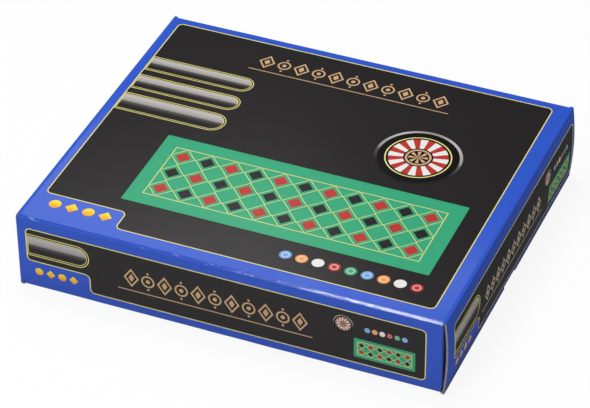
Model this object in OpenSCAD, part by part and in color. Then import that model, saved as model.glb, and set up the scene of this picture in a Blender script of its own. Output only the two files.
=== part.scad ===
// Roulette set case: a tuck-end carton of fine corrugated board with the game packed inside.
// Lengths in millimetres, angles in degrees. +X runs to the right end, -Y is the front face, +Z is up.
// The origin is the centre of the carton's underside.

/* [Board] */
// Thickness of the corrugated board
board_t = 1.6; // [1.2:0.1:2]
// Outer radius of the sleeve's four long folds
fold_r = 2.2; // [1.8:0.1:4]
// Height of the glued tab inside the back panel
glue_tab_h = 24; // [15:1:30]
// Clearance between a crease bead and the cup that turns on it
crease_gap = 0.1; // [0.05:0.01:0.2]

/* [Closures] */
// How far a closed closure panel bulges outwards
closure_bow = 2; // [1:0.1:3]
// Gap between a closure's raw edge and the plane of the front or back face
closure_side_gap = 0.6; // [0.3:0.1:1.5]
// Widest angle a closure panel opens to
closure_open = 165; // [120:5:170]
// Gap under the closure's lower fold
tuck_gap = 0.3; // [0.2:0.1:0.6]
// Length of the tuck tongue
tongue_l = 14; // [10:1:15]
// Upward slope of the tucked tongue
tongue_slope = 13; // [12:0.5:15]
// Radius of the tongue's two free corners
tongue_corner_r = 10; // [4:1:10]
// Radius of the half-moon thumb notch in the bottom panel
notch_r = 12; // [8:1:16]

/* [Dust flaps] */
// Length of a dust flap from its crease
dust_l = 46; // [35:1:50]
// Fall of the dust flap's upper edge for each millimetre of its length
dust_taper = 0.5; // [0.5:0.01:0.6]
// Rise of the dust flap's lower edge for each millimetre of its length
dust_foot_taper = 0.1; // [0.08:0.01:0.15]
// Gap between a dust flap and the closure over it
dust_gap = 0.5; // [0.4:0.1:1]
// Gap between a dust flap's edges and the top panel above it and the tongue below it
dust_edge_gap = 0.8; // [0.6:0.1:1.5]

/* [Wheel bowl] */
// Outer diameter of the bowl's rim
bowl_d = 250; // [240:1:280]
// Height of the bowl from its foot to the rim's crest
bowl_h = 52; // [51:0.5:56]
// Width of the rim
rim_w = 22; // [18:1:24]
// Thickness of the rim's outer edge
rim_edge_t = 6; // [5:0.5:7]
// Wall of the bowl
bowl_wall = 2.2; // [1.8:0.1:3]
// Height of the well's floor
well_floor = 6.5; // [6:0.5:7]
// Height of the ball track's inner edge
track_low = 20.2; // [18:0.1:21]
// Height of the ball track's outer edge
track_high = 26.5; // [25:0.1:28]

/* [Rotor] */
// Diameter of the spinning rotor
rotor_d = 150; // [144:1:152]
// Gap around the rotor in its well
rotor_gap = 2.5; // [1.5:0.1:4]
// Height of the number ring's top over the bowl's foot
band_z = 20; // [19:0.5:21]
// Height of the hub's top over the bowl's foot
hub_z = 27; // [26:0.5:28]
// Width of the ring that carries the numbers
number_band_w = 12; // [10:0.5:14]
// Width of the ring of ball pockets
pocket_w = 12.4; // [12:0.1:14]
// Depth of a ball pocket
pocket_depth = 5; // [4.5:0.1:6]
// Number of ball pockets
pocket_count = 37; // [37:1:38]
// Thickness of the fret between two pockets
fret_t = 0.8; // [0.6:0.1:1.2]
// Radius of the steel spindle
spindle_r = 3; // [2.5:0.1:3.5]
// Running clearance between the spindle and the rotor's bush
spindle_gap = 0.05; // [0.02:0.01:0.08]
// Wall of the rotor's bush
bush_wall = 2; // [1.5:0.1:2.5]

/* [Turret] */
// Distance from the axis to the middle of an arm's knob
arm_reach = 31; // [24:1:34]
// Radius of a turret arm
arm_r = 1.8; // [1.4:0.1:2.2]
// Radius of the knob on an arm
knob_r = 3.2; // [2.6:0.1:4]
// Radius of the turret's column
column_r = 6.8; // [6.5:0.1:8]
// Height of the finial over the column
finial_h = 6.2; // [5:0.1:7]
// Room between the finial and the mat
finial_room = 1.3; // [1:0.1:3]
// Number of turret arms
arm_count = 4; // [3:1:6]

/* [Chips] */
// Diameter of a chip
chip_d = 25; // [23:0.5:27]
// Thickness of a chip
chip_t = 3.2; // [2.8:0.1:3.3]
// Chips of each colour
chip_count = 18; // [15:1:18]
// Length of an oblong plaque
plaque_l = 38; // [30:1:40]
// Width of an oblong plaque
plaque_w = 20; // [16:1:22]
// Thickness of a plaque
plaque_t = 2.4; // [2:0.1:2.6]
// Plaques of each colour
plaque_count = 8; // [4:1:8]
// Radius of a roulette ball
ball_r = 4.5; // [4:0.1:4.6]
// Wall of the chip rack
rack_wall = 1.4; // [1:0.1:2]
// Width of the rack's flange
rack_flange = 2.5; // [2:0.1:3]
// Thickness of the rack's flange
rack_flange_t = 1.5; // [1:0.1:2]
// Play around what lies in the rack
chip_play = 0.4; // [0.3:0.1:0.6]

/* [Rake] */
// Radius of the rake's grip
grip_r = 5; // [4:0.1:5.2]
// Length of the rake's grip
grip_l = 105; // [80:1:110]
// Radius of the rake's rod
rod_r = 2; // [1.5:0.1:2.5]
// Length of the rod that shows beyond the grip
rod_l = 185; // [150:1:190]
// Length of rod held in the grip
rod_seat = 25; // [15:1:40]
// Width of the rake's blade
blade_w = 66; // [50:1:70]
// Height of the rake's blade
blade_h = 18; // [14:1:20]
// Radius of the blade's curve
blade_curve_r = 70; // [65:1:90]

/* [Mat and leaflet] */
// Length of the playing mat, laid flat
mat_l = 600; // [560:1:610]
// Width of the playing mat
mat_w = 264; // [220:1:266]
// Thickness of the felt
mat_t = 1.2; // [0.8:0.1:1.6]
// Length of the folded rules leaflet
leaflet_l = 148; // [100:1:210]
// Width of the folded rules leaflet
leaflet_w = 105; // [90:1:150]
// Free height over the leaflet
headroom = 5.5; // [5.2:0.1:9]

/* [Packing room] */
// Width of the lane for the rake, between the front panel and the insert
rake_lane = 11.9; // [11.5:0.1:20]
// Room between the rim and the insert's left end
wheel_edge_room = 5; // [3:0.1:12]
// Room between the rim and the rack's flange
wheel_rack_gap = 2.6; // [1:0.1:8]
// Room between the rack's flange and the insert's right end
rack_edge_room = 2.6; // [2:0.1:8]
// Room between the insert and the dust flaps and back tab
insert_room = 0.8; // [0.5:0.1:2]
// Radius of the finger notch in each end leg of the insert
finger_r = 11; // [8:0.5:14]
// Play between the insert and the tongues that slide under its ends
tongue_play = 1.2; // [1:0.1:2]

/* [Hidden] */
$fn = 64;
eps = 0.01;
slip = 0.02;          // radial clearance of a pressed or glued fit
rest_gap = 0.05;      // gap under loose pieces that lie on something
leaf_t = 0.2;         // paper of the leaflet
lay_gap = 0.3;        // air between the two layers of the folded mat
leaf_gap = 0.1;       // air between the leaflet's two leaves

half_t = board_t / 2;
fold_in_r = max(fold_r - board_t, 0.2);
cup_r = half_t + crease_gap;

// Places up the height of the stack
floor_z = board_t;
rim_seat = bowl_h - rim_edge_t;
platform_z = floor_z + rim_seat;
mat_z = floor_z + bowl_h;
mat_stack = 2 * mat_t + lay_gap;
leaf_z = mat_z + mat_stack;
leaf_stack = 2 * leaf_t + leaf_gap;
carton_h = leaf_z + leaf_stack + headroom + board_t;

// The rack is sized by its chips, the insert by the wheel and the rack, and the carton by the insert
trough_r = chip_d / 2 + chip_play;
chip_pitch = chip_t + 0.1;
chips_l = chip_count * chip_pitch + 2 * chip_play;
chip_z = mat_z - chip_play - chip_d / 2;
rack_w = 4 * trough_r + 3 * rack_wall;
rack_len = 4 * chips_l + 5 * rack_wall;
rack_floor_z = chip_z - trough_r;
rack_bottom_z = rack_floor_z - rack_wall;
rack_top_z = platform_z + rack_flange_t;
flange_w = rack_w + 2 * rack_flange;
end_stack = board_t + dust_gap + board_t + insert_room;
tongue_run = tongue_l * cos(tongue_slope) + half_t;
rake_l = grip_l + rod_l;
goods_l = wheel_edge_room + bowl_d + wheel_rack_gap + flange_w + rack_edge_room;
insert_l = max(goods_l, rake_l + 2 * (tongue_run + half_t + tongue_play - end_stack));
insert_w = max(bowl_d + rake_lane - board_t - insert_room, rack_len + 2 * rack_flange + 2 * board_t);
carton_l = insert_l + 2 * end_stack;
carton_w = rake_lane + insert_w + insert_room + 3 * board_t;
inner_y = carton_w / 2 - board_t;
insert_front_y = rake_lane - inner_y;
insert_back_y = insert_front_y + insert_w;
insert_mid_y = (insert_front_y + insert_back_y) / 2;
wheel_x = -insert_l / 2 + wheel_edge_room + bowl_d / 2;
wheel_y = insert_front_y + bowl_d / 2;
rack_x = insert_l / 2 - rack_edge_room - flange_w / 2;
row_a_x = rack_x - trough_r - rack_wall / 2;
row_b_x = rack_x + trough_r + rack_wall / 2;
rack_y0 = insert_mid_y - rack_len / 2;

// Creases of the closures and dust flaps
hinge_x = carton_l / 2 - half_t;
hinge_z = carton_h - half_t;
tuck_z = board_t + tuck_gap + half_t;
closure_drop = hinge_z - tuck_z;
bow_r = (closure_drop * closure_drop / 4 + closure_bow * closure_bow) / (2 * closure_bow);
bow_x = hinge_x + closure_bow - bow_r;
closure_w = carton_w - 2 * closure_side_gap;
horn_drop = cup_r * sin(closure_open - 90 + 2);
dust_x = hinge_x - board_t - dust_gap;
dust_y = carton_w / 2 - half_t;
dust_top_z = carton_h - board_t - dust_edge_gap;
dust_foot_z = tuck_z + board_t + dust_edge_gap;
lip_x = carton_l / 2 - 0.2;
tongue_w = carton_w - 4 * board_t - 2 * closure_side_gap;
tongue_in_x = hinge_x - tongue_run;
tongue_top_z = tuck_z + tongue_l * sin(tongue_slope) + half_t;
end_foot_z = tongue_top_z + tongue_play;

// Wheel sizes, counted from the bowl's foot
well_r = rotor_d / 2 + rotor_gap;
track_in = [well_r + 2.5, track_low];
bowl_r = bowl_d / 2;
wall_r = bowl_r - rim_w;
track_out = [wall_r - 7, track_high];
shoulder_z = well_floor + 2;
band_in_r = rotor_d / 2 - number_band_w;
pocket_in_r = band_in_r - pocket_w;
pocket_floor = band_z - pocket_depth;
bush_r = spindle_r + spindle_gap + bush_wall;
hub_r = bush_r + 4;
turret_top = bowl_h - finial_room - finial_h;
turret_h = turret_top - hub_z;
turret_bore_z = hub_z + turret_h / 3;
column_h = 2 * arm_r + 3;
arm_z = turret_top - column_h + arm_r + 1;
stem_r = 2;
stem_seat = 5.5;

// Wells of the rack's second row: chips, two sorts of plaque, the rake's blade, the balls
row_b_fixed = [chips_l, plaque_l + 2 * chip_play, plaque_l + 2 * chip_play, blade_w + 4 * chip_play];
function sum(v, n) = n <= 0 ? 0 : v[n - 1] + sum(v, n - 1);
ball_well_l = rack_len - sum(row_b_fixed, 4) - 6 * rack_wall;
row_a = [for (i = [0:3]) chips_l];
row_b = concat(row_b_fixed, [ball_well_l]);
function well_start(row, i) = rack_y0 + rack_wall * (i + 1) + sum(row, i);
function well_mid(row, i) = well_start(row, i) + row[i] / 2;

// A rectangle with true round corners, centred
module round_rect(w, h, r) {
    square([w - 2 * r, h], center = true);
    square([w, h - 2 * r], center = true);
    for (x = [-1, 1], y = [-1, 1])
        translate([x * (w / 2 - r), y * (h / 2 - r)]) circle(r = r);
}

// Extrudes an XZ section along Y, centred
module along_y(length) {
    rotate([90, 0, 0]) linear_extrude(height = length, center = true) children();
}

// Extrudes a YZ section along X, centred
module along_x(length) {
    rotate([90, 0, 90]) linear_extrude(height = length, center = true) children();
}

// Turns a right-end piece into its twin at the left end
module at_end(side) {
    mirror([side < 0 ? 1 : 0, 0, 0]) children();
}

// Turns a front piece into its twin at the back
module at_face(side) {
    mirror([0, side > 0 ? 1 : 0, 0]) children();
}

// The wrapped and glued tube: four panels with round folds, noses for the creases, and thumb notches
module carton_sleeve() {
    color("royalblue") difference() {
        union() {
            translate([0, 0, carton_h / 2]) along_x(2 * dust_x) difference() {
                round_rect(carton_w, carton_h, fold_r);
                round_rect(carton_w - 2 * board_t, carton_h - 2 * board_t, fold_in_r);
            }
            translate([-hinge_x, -closure_w / 2, carton_h - board_t])
                cube([2 * hinge_x, closure_w, board_t]);
            translate([-lip_x, -closure_w / 2, 0])
                cube([2 * lip_x, closure_w, board_t]);
            for (side = [-1, 1]) {
                translate([side * hinge_x, 0, hinge_z]) along_y(closure_w) circle(r = half_t);
                for (face = [-1, 1])
                    translate([side * dust_x, face * dust_y, dust_foot_z])
                        cylinder(r = half_t, h = dust_top_z - dust_foot_z);
            }
        }
        for (side = [-1, 1])
            translate([side * lip_x, 0, -eps]) cylinder(r = notch_r, h = board_t + 2 * eps);
    }
}

// The tab that closes the tube, glued up the inside of the back panel
module carton_glue_tab() {
    tab_l = 2 * (dust_x - board_t);
    slant = glue_tab_h / 3;
    color("gainsboro") translate([0, inner_y, board_t + fold_in_r]) rotate([90, 0, 0])
        linear_extrude(height = board_t)
            polygon([[-tab_l / 2, 0], [tab_l / 2, 0],
                     [tab_l / 2 - slant, glue_tab_h], [-tab_l / 2 + slant, glue_tab_h]]);
}

// Closure panel: bulges between its two creases, cupped above and nosed below
module closure_panel() {
    color("royalblue") along_y(closure_w) {
        difference() {
            intersection() {
                translate([bow_x, (hinge_z + tuck_z) / 2]) difference() {
                    circle(r = bow_r + half_t, $fn = 360);
                    circle(r = bow_r - half_t, $fn = 360);
                }
                translate([hinge_x - 2 * board_t, tuck_z])
                    square([4 * board_t + 2 * closure_bow, closure_drop - horn_drop]);
            }
            translate([hinge_x, hinge_z]) circle(r = cup_r);
            translate([hinge_x - 2 * board_t, hinge_z - cup_r])
                square([2 * board_t, 2 * cup_r]);
        }
        translate([hinge_x, tuck_z]) circle(r = half_t);
    }
}

// Tuck tongue: cupped on the closure's lower nose and sloping up into the carton
module tuck_tongue() {
    color("royalblue") translate([hinge_x, 0, tuck_z]) rotate([0, tongue_slope, 0])
        intersection() {
            along_y(tongue_w) difference() {
                translate([-tongue_l, -half_t]) square([tongue_l, board_t]);
                circle(r = cup_r);
                translate([-cup_r - 2 * crease_gap, 0]) square([2 * cup_r, board_t]);
            }
            translate([0, 0, -board_t]) linear_extrude(height = 2 * board_t)
                round_rect(2 * tongue_l, tongue_w, tongue_corner_r);
        }
}

// Dust flap of the right end's front corner: a cupped plate with a tapered outline
module dust_flap() {
    tip_drop = dust_taper * dust_l;
    tip_rise = dust_foot_taper * dust_l;
    base_h = dust_top_z - dust_foot_z;
    color("royalblue") translate([dust_x, -dust_y, dust_foot_z]) intersection() {
        linear_extrude(height = base_h) difference() {
            translate([-half_t, 0]) square([board_t, dust_l]);
            circle(r = cup_r);
            translate([-board_t, -eps]) square([board_t, cup_r + eps]);
        }
        along_x(2 * board_t)
            polygon([[-board_t, 0], [dust_l, tip_rise], [dust_l, base_h - tip_drop],
                     [board_t, base_h], [-board_t, base_h]]);
    }
}

// Folded board insert: a platform with a round seat for the bowl, a window for the rack and two long legs.
// The ends stand clear of the floor, so that the tongues slide in under them.
module insert_platform() {
    depth = insert_back_y - insert_front_y;
    leg_h = platform_z - floor_z;
    seat_r = wall_r + 5;
    color("tan") difference() {
        union() {
            translate([-insert_l / 2, insert_front_y, platform_z - board_t])
                cube([insert_l, depth, board_t]);
            for (y = [insert_front_y, insert_back_y - board_t])
                translate([-insert_l / 2 + 2 * board_t, y, floor_z])
                    cube([insert_l - 4 * board_t, board_t, leg_h]);
        }
        translate([wheel_x, wheel_y, platform_z - 2 * board_t])
            cylinder(r = seat_r, h = 3 * board_t, $fn = 180);
        translate([rack_x, insert_mid_y, platform_z])
            cube([rack_w + 2 * chip_play, rack_len + 2 * chip_play, 4 * board_t], center = true);
        for (side = [-1, 1]) at_end(side)
            translate([tongue_in_x - tongue_play, -carton_w / 2, 0])
                cube([carton_l, carton_w, end_foot_z]);
    }
}

// End legs of the insert: folded down from the platform's ends to just over the tongues,
// each with a finger notch in its foot.
module insert_end_legs() {
    leg_w = insert_w - 4 * board_t;
    leg_h = platform_z - board_t - end_foot_z;
    color("tan") difference() {
        for (side = [-1, 1])
            translate([side * (insert_l - board_t) / 2, insert_mid_y, end_foot_z + leg_h / 2])
                cube([board_t, leg_w, leg_h], center = true);
        translate([0, insert_mid_y, end_foot_z]) rotate([0, 90, 0])
            cylinder(r = finger_r, h = insert_l + 2, center = true);
    }
}

// One well of the rack, round-bottomed for chips or flat for the rest
module rack_well(x, row, i, is_round) {
    height = rack_top_z - rack_floor_z + 1;
    translate([x, well_mid(row, i), 0]) {
        if (is_round) {
            translate([0, 0, chip_z]) along_y(row[i]) circle(r = trough_r);
            translate([-trough_r, -row[i] / 2, chip_z]) cube([2 * trough_r, row[i], height]);
        } else {
            translate([-trough_r, -row[i] / 2, rack_floor_z]) cube([2 * trough_r, row[i], height]);
        }
    }
}

// Chip rack: two rows of wells under a flange that hangs on the platform
module chip_rack() {
    color("dimgray") difference() {
        union() {
            translate([rack_x - rack_w / 2, rack_y0, rack_bottom_z])
                cube([rack_w, rack_len, rack_top_z - rack_bottom_z]);
            translate([rack_x - flange_w / 2, rack_y0 - rack_flange, platform_z])
                cube([flange_w, rack_len + 2 * rack_flange, rack_flange_t]);
        }
        for (i = [0:3]) rack_well(row_a_x, row_a, i, true);
        for (i = [0:4]) rack_well(row_b_x, row_b, i, i == 0);
    }
}

// Chips of one colour, on edge in their well
module chips(x, row, i, shade) {
    first = well_mid(row, i) - chip_count * chip_pitch / 2;
    color(shade) for (k = [0:chip_count - 1])
        translate([x, first + (k + 0.5) * chip_pitch, chip_z]) along_y(chip_t) circle(r = chip_d / 2);
}

// Plaques of one colour, stacked flat in their well
module plaques(i, shade) {
    color(shade) for (k = [0:plaque_count - 1])
        translate([row_b_x, well_mid(row_b, i), rack_floor_z + rest_gap + k * (plaque_t + rest_gap)])
            linear_extrude(height = plaque_t) round_rect(plaque_w, plaque_l, plaque_w / 2 - eps);
}

// Two balls side by side at the front of the last well
module roulette_balls() {
    color("white") for (side = [-1, 1])
        translate([row_b_x + side * (ball_r + rest_gap), well_start(row_b, 4) + ball_r + chip_play,
                   rack_floor_z + ball_r + rest_gap])
            sphere(r = ball_r);
}

// Places a round part of the wheel at the bowl's axis, with its heights counted from the bowl's foot
module on_wheel() {
    translate([wheel_x, wheel_y, floor_z]) children();
}

// Bowl: foot ring, rotor well, sloping ball track, wall and broad rim, with a boss for the spindle
module wheel_bowl() {
    w = bowl_wall;
    boss_r = spindle_r + 5;
    color("black") on_wheel() rotate_extrude($fn = 180) polygon([
        [spindle_r + slip, well_floor], [well_r, well_floor], [well_r + 0.6, track_in[1] - 0.8],
        track_in, track_out, [wall_r - 3.5, track_out[1] + 2.6], [wall_r - 2, track_out[1] + 6.5],
        [wall_r, bowl_h - 4], [wall_r + 1, bowl_h - 1.4], [wall_r + 3, bowl_h - 0.2],
        [wall_r + 5.5, bowl_h], [bowl_r - 6, bowl_h - 1.1], [bowl_r - 2, bowl_h - 2.3],
        [bowl_r - 0.4, bowl_h - 3.8], [bowl_r, rim_seat + 0.6], [bowl_r - 0.4, rim_seat],
        [wall_r + w + 1.4, rim_seat], [wall_r + w, rim_seat - 1],
        [wall_r - 2 + w, track_out[1] + 5.8], [wall_r - 3.2 + w, track_out[1] + 1],
        [track_out[0] + 1.2, track_out[1] - w], [track_in[0] + 0.6, track_in[1] - w - 0.2],
        [well_r + w, track_in[1] - w - 1.4], [well_r + w, 0], [well_r - w, 0],
        [well_r - w, well_floor - w - 0.5], [boss_r, well_floor - w - 0.5],
        [boss_r, 1.5], [spindle_r + slip, 1.5]
    ]);
}

// Spindle: pressed into the boss, with a thrust shoulder under the bush
module wheel_spindle() {
    color("silver") on_wheel() {
        translate([0, 0, 1.5]) cylinder(r = spindle_r, h = turret_bore_z - 2);
        translate([0, 0, well_floor]) cylinder(r = spindle_r + 2.5, h = shoulder_z - well_floor);
    }
}

// Plain bush that runs on the spindle
module rotor_bush() {
    color("goldenrod") on_wheel() translate([0, 0, shoulder_z + rest_gap]) difference() {
        cylinder(r = bush_r, h = hub_z - shoulder_z - 2);
        translate([0, 0, -eps]) cylinder(r = spindle_r + spindle_gap, h = hub_z);
    }
}

// Rotor: a flat disc with the hub that holds the bush
module wheel_rotor() {
    r = rotor_d / 2;
    low = shoulder_z + rest_gap;
    color("ivory") on_wheel() rotate_extrude($fn = 180) polygon([
        [bush_r + slip, hub_z], [hub_r, hub_z], [hub_r, pocket_floor], [r, pocket_floor],
        [r, pocket_floor - 2], [hub_r + 1.5, pocket_floor - 2], [hub_r, pocket_floor - 3.5],
        [hub_r, low], [bush_r + slip, low]
    ]);
}

// Cone: the cover between the hub and the ring of pockets
module rotor_cone() {
    w = 2;
    color("gold") on_wheel() rotate_extrude($fn = 180) polygon([
        [hub_r + slip, hub_z], [hub_r + 3, hub_z], [hub_r + 5, hub_z - 1],
        [pocket_in_r - 0.6, band_z - 1], [pocket_in_r, band_z - 1.4], [pocket_in_r, pocket_floor],
        [pocket_in_r - w, pocket_floor], [pocket_in_r - w, band_z - 1 - w],
        [hub_r + 5, hub_z - 1 - w], [hub_r + slip, hub_z - 1 - w]
    ]);
}

// Ring on the disc's edge that carries the printed numbers and walls the pockets in
module number_ring() {
    r = rotor_d / 2;
    color("crimson") on_wheel() rotate_extrude($fn = 180) polygon([
        [band_in_r, pocket_floor], [r, pocket_floor], [r, band_z - 0.5], [r - 0.5, band_z],
        [band_in_r + 0.3, band_z], [band_in_r, band_z - 0.3]
    ]);
}

// Frets that part the ball pockets, stood on the disc; a pocket is centred on the +X axis
module pocket_frets() {
    play = 0.2;
    color("gold") on_wheel() for (i = [0:pocket_count - 1])
        rotate([0, 0, (i + 0.5) * 360 / pocket_count])
            translate([pocket_in_r + play, -fret_t / 2, pocket_floor])
                cube([pocket_w - 2 * play - 0.1, fret_t, pocket_depth - 0.5]);
}

// Turret: foot, waist and column, bored below for the spindle, above for the finial and round for the arms
module turret() {
    foot_r = bush_r + 8;
    foot_h = 2.6;
    waist_h = turret_h - foot_h - column_h;
    color("gold") on_wheel() difference() {
        rotate_extrude() polygon([
            [0, turret_bore_z], [spindle_r + 0.4, turret_bore_z], [spindle_r + 0.4, hub_z],
            [foot_r, hub_z], [foot_r, hub_z + foot_h / 2], [foot_r - 4, hub_z + foot_h],
            [column_r - 0.8, hub_z + foot_h + waist_h / 2], [column_r - 1.8, turret_top - column_h - 1.5],
            [column_r, turret_top - column_h], [column_r, turret_top - 1.5],
            [column_r - 1.8, turret_top], [0, turret_top]
        ]);
        translate([0, 0, turret_top - stem_seat]) cylinder(r = stem_r + slip, h = stem_seat + 1);
        for (i = [0:arm_count - 1]) rotate([0, 90, (i + 0.5) * 360 / arm_count])
            translate([-arm_z, 0, column_r - 2.8]) cylinder(r = arm_r + slip, h = 5);
    }
}

// Turret arms: each a rod seated in the column, with a round knob
module turret_arms() {
    color("gold") on_wheel() for (i = [0:arm_count - 1])
        rotate([0, 0, (i + 0.5) * 360 / arm_count]) translate([0, 0, arm_z]) {
            rotate([0, 90, 0]) translate([0, 0, column_r - 2.6])
                cylinder(r = arm_r, h = arm_reach - column_r + 2.6);
            translate([arm_reach, 0, 0]) sphere(r = knob_r);
        }
}

// Finial: a stem in the column's top under a small turned bud
module turret_finial() {
    bud_r = 4;
    stem_foot = turret_top - stem_seat + 0.3;
    color("gold") on_wheel() rotate_extrude() polygon([
        [0, stem_foot], [stem_r, stem_foot], [stem_r, turret_top], [bud_r + 0.4, turret_top],
        [bud_r + 0.4, turret_top + 0.8], [bud_r - 1.4, turret_top + 1.6], [bud_r, turret_top + finial_h / 2],
        [bud_r, turret_top + finial_h / 2 + 1], [bud_r - 1.6, turret_top + finial_h - 0.8],
        [0, turret_top + finial_h]
    ]);
}

// Places the rake along its lane, with the grip beside the left tongue
module in_rake_lane() {
    translate([tongue_play - tongue_in_x, insert_front_y - rake_lane / 2, floor_z + grip_r + rest_gap])
        rotate([0, 90, 0]) children();
}

// Grip: a ribbed handle bored for the rod, with a spigot bore for its end cap
module rake_grip() {
    rib_count = 9;
    rib_pitch = 6;
    cap_seat = 4;
    color("black") in_rake_lane() difference() {
        translate([0, 0, 2]) cylinder(r = grip_r, h = grip_l - 2);
        translate([0, 0, grip_l - rod_seat]) cylinder(r = rod_r + slip, h = rod_seat + 1);
        translate([0, 0, 1]) cylinder(r = grip_r - 2, h = cap_seat + 1.2);
        for (i = [0:rib_count - 1]) translate([0, 0, 18 + i * rib_pitch]) difference() {
            cylinder(r = grip_r + 1, h = 1.6);
            translate([0, 0, -eps]) cylinder(r = grip_r - 0.6, h = 2);
        }
    }
}

// End cap: a disc with a spigot in the grip's end
module rake_grip_cap() {
    color("darkgreen") in_rake_lane() {
        cylinder(r = grip_r - 0.4, h = 2);
        cylinder(r = grip_r - 2 - slip, h = 6);
    }
}

// Steel rod, seated in the grip
module rake_rod() {
    color("silver") in_rake_lane()
        translate([0, 0, grip_l - rod_seat + rest_gap]) cylinder(r = rod_r, h = rod_l + rod_seat);
}

// Curved blade with a socket for the rod, stood on edge in its well
module rake_blade() {
    blade_t = 2.5;
    socket_r = rod_r + 2.2;
    socket_l = 12;
    sagitta = blade_curve_r - sqrt(blade_curve_r * blade_curve_r - blade_w * blade_w / 4);
    back_x = row_b_x - trough_r + chip_play;
    color("black") translate([back_x, well_mid(row_b, 3), rack_floor_z + rest_gap]) difference() {
        union() {
            intersection() {
                translate([blade_curve_r, 0, 0]) difference() {
                    cylinder(r = blade_curve_r, h = blade_h, $fn = 180);
                    translate([0, 0, -1]) cylinder(r = blade_curve_r - blade_t, h = blade_h + 2, $fn = 180);
                }
                translate([-1, -blade_w / 2, 0]) cube([sagitta + blade_t + 1, blade_w, blade_h]);
            }
            translate([blade_t / 2, 0, blade_h / 2]) rotate([0, 90, 0]) cylinder(r = socket_r, h = socket_l);
        }
        translate([blade_t + 1, 0, blade_h / 2]) rotate([0, 90, 0]) cylinder(r = rod_r + slip, h = socket_l);
    }
}

// A sheet folded once, layer on layer, with its round fold at the +X end
module folded_sheet(length, width, layer, air) {
    stack = 2 * layer + air;
    along_y(width) difference() {
        union() {
            translate([-length / 2, 0]) square([length - stack / 2, stack]);
            translate([length / 2 - stack / 2, stack / 2]) circle(r = stack / 2);
        }
        translate([-length / 2 - 1, layer]) square([length + 1 - stack / 2, air]);
        translate([length / 2 - stack / 2, stack / 2]) circle(r = air / 2);
    }
}

// Felt playing mat, folded in half and laid on the rim
module layout_mat() {
    color("seagreen") translate([0, 0, mat_z]) folded_sheet(mat_l / 2, mat_w, mat_t, lay_gap);
}

// Rules leaflet, folded once and laid on the mat
module rules_leaflet() {
    color("white") translate([0, 0, leaf_z]) folded_sheet(leaflet_l, leaflet_w, leaf_t, leaf_gap);
}

carton_sleeve();
carton_glue_tab();
at_end(1) closure_panel();  // right_closure_panel
at_end(1) tuck_tongue();  // right_tuck_tongue
at_end(1) at_face(-1) dust_flap();  // right_front_dust_flap
at_end(1) at_face(1) dust_flap();  // right_back_dust_flap
at_end(-1) closure_panel();  // left_closure_panel
at_end(-1) tuck_tongue();  // left_tuck_tongue
at_end(-1) at_face(-1) dust_flap();  // left_front_dust_flap
at_end(-1) at_face(1) dust_flap();  // left_back_dust_flap
insert_platform();
insert_end_legs();
chip_rack();
chips(row_a_x, row_a, 0, "cornflowerblue");  // chips_blue
chips(row_a_x, row_a, 1, "orange");  // chips_orange
chips(row_a_x, row_a, 2, "whitesmoke");  // chips_white
chips(row_a_x, row_a, 3, "indianred");  // chips_red
chips(row_b_x, row_b, 0, "mediumseagreen");  // chips_green
plaques(1, "pink");  // plaques_pink
plaques(2, "aquamarine");  // plaques_mint
roulette_balls();
wheel_bowl();
wheel_spindle();
rotor_bush();
wheel_rotor();
rotor_cone();
number_ring();
pocket_frets();
turret();
turret_arms();
turret_finial();
rake_grip();
rake_grip_cap();
rake_rod();
rake_blade();
layout_mat();
rules_leaflet();
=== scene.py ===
"""Dresses the roulette set case: a laminated tuck-end carton with the game packed inside.

Every length in the classes below is in millimetres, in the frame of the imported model:
+X runs to the right end, -Y is the front face and +Z is up. Meshes are turned to metres
once, when a piece is finished.
"""

import logging
import math
from dataclasses import dataclass, field, replace
from enum import Enum
from typing import Callable, Iterable, Optional, Protocol, Sequence

import bmesh
import bpy
from mathutils import Matrix, Vector, noise


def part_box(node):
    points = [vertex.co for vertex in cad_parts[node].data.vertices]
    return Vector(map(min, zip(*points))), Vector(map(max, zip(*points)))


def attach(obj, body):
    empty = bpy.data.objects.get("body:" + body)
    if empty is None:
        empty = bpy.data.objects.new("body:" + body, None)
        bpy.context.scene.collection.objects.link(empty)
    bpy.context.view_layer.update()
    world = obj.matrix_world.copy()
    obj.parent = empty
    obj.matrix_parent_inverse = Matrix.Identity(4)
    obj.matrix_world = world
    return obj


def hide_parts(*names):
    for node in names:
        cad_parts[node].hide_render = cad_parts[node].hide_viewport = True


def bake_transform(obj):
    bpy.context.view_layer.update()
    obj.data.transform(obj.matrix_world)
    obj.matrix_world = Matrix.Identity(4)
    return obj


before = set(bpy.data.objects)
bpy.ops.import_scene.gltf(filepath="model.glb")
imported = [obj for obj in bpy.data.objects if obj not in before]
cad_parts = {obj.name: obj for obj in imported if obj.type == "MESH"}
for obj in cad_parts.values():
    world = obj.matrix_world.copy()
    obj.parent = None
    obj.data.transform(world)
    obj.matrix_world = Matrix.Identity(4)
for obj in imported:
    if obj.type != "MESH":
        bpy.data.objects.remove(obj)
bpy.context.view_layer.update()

LOG = logging.getLogger("roulette_set_case")
MM = 0.001
Point = tuple[float, float]
Predicate = Callable[[Vector, Vector], bool]
Tree, Node, Socket = bpy.types.NodeTree, bpy.types.Node, bpy.types.NodeSocket
Mesh, Material = bmesh.types.BMesh, bpy.types.Material
# Lengths that finishes share with the carton, in millimetres: the flutes' pitch, the place of the
# crushed long folds from the carton's middle plane, and its mid height.
FLUTE_PITCH = 3.4
FOLD_Y, FOLD_RISE, MID_Z = 137.9, 31.3, 31.95


# colour and node helpers


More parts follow.
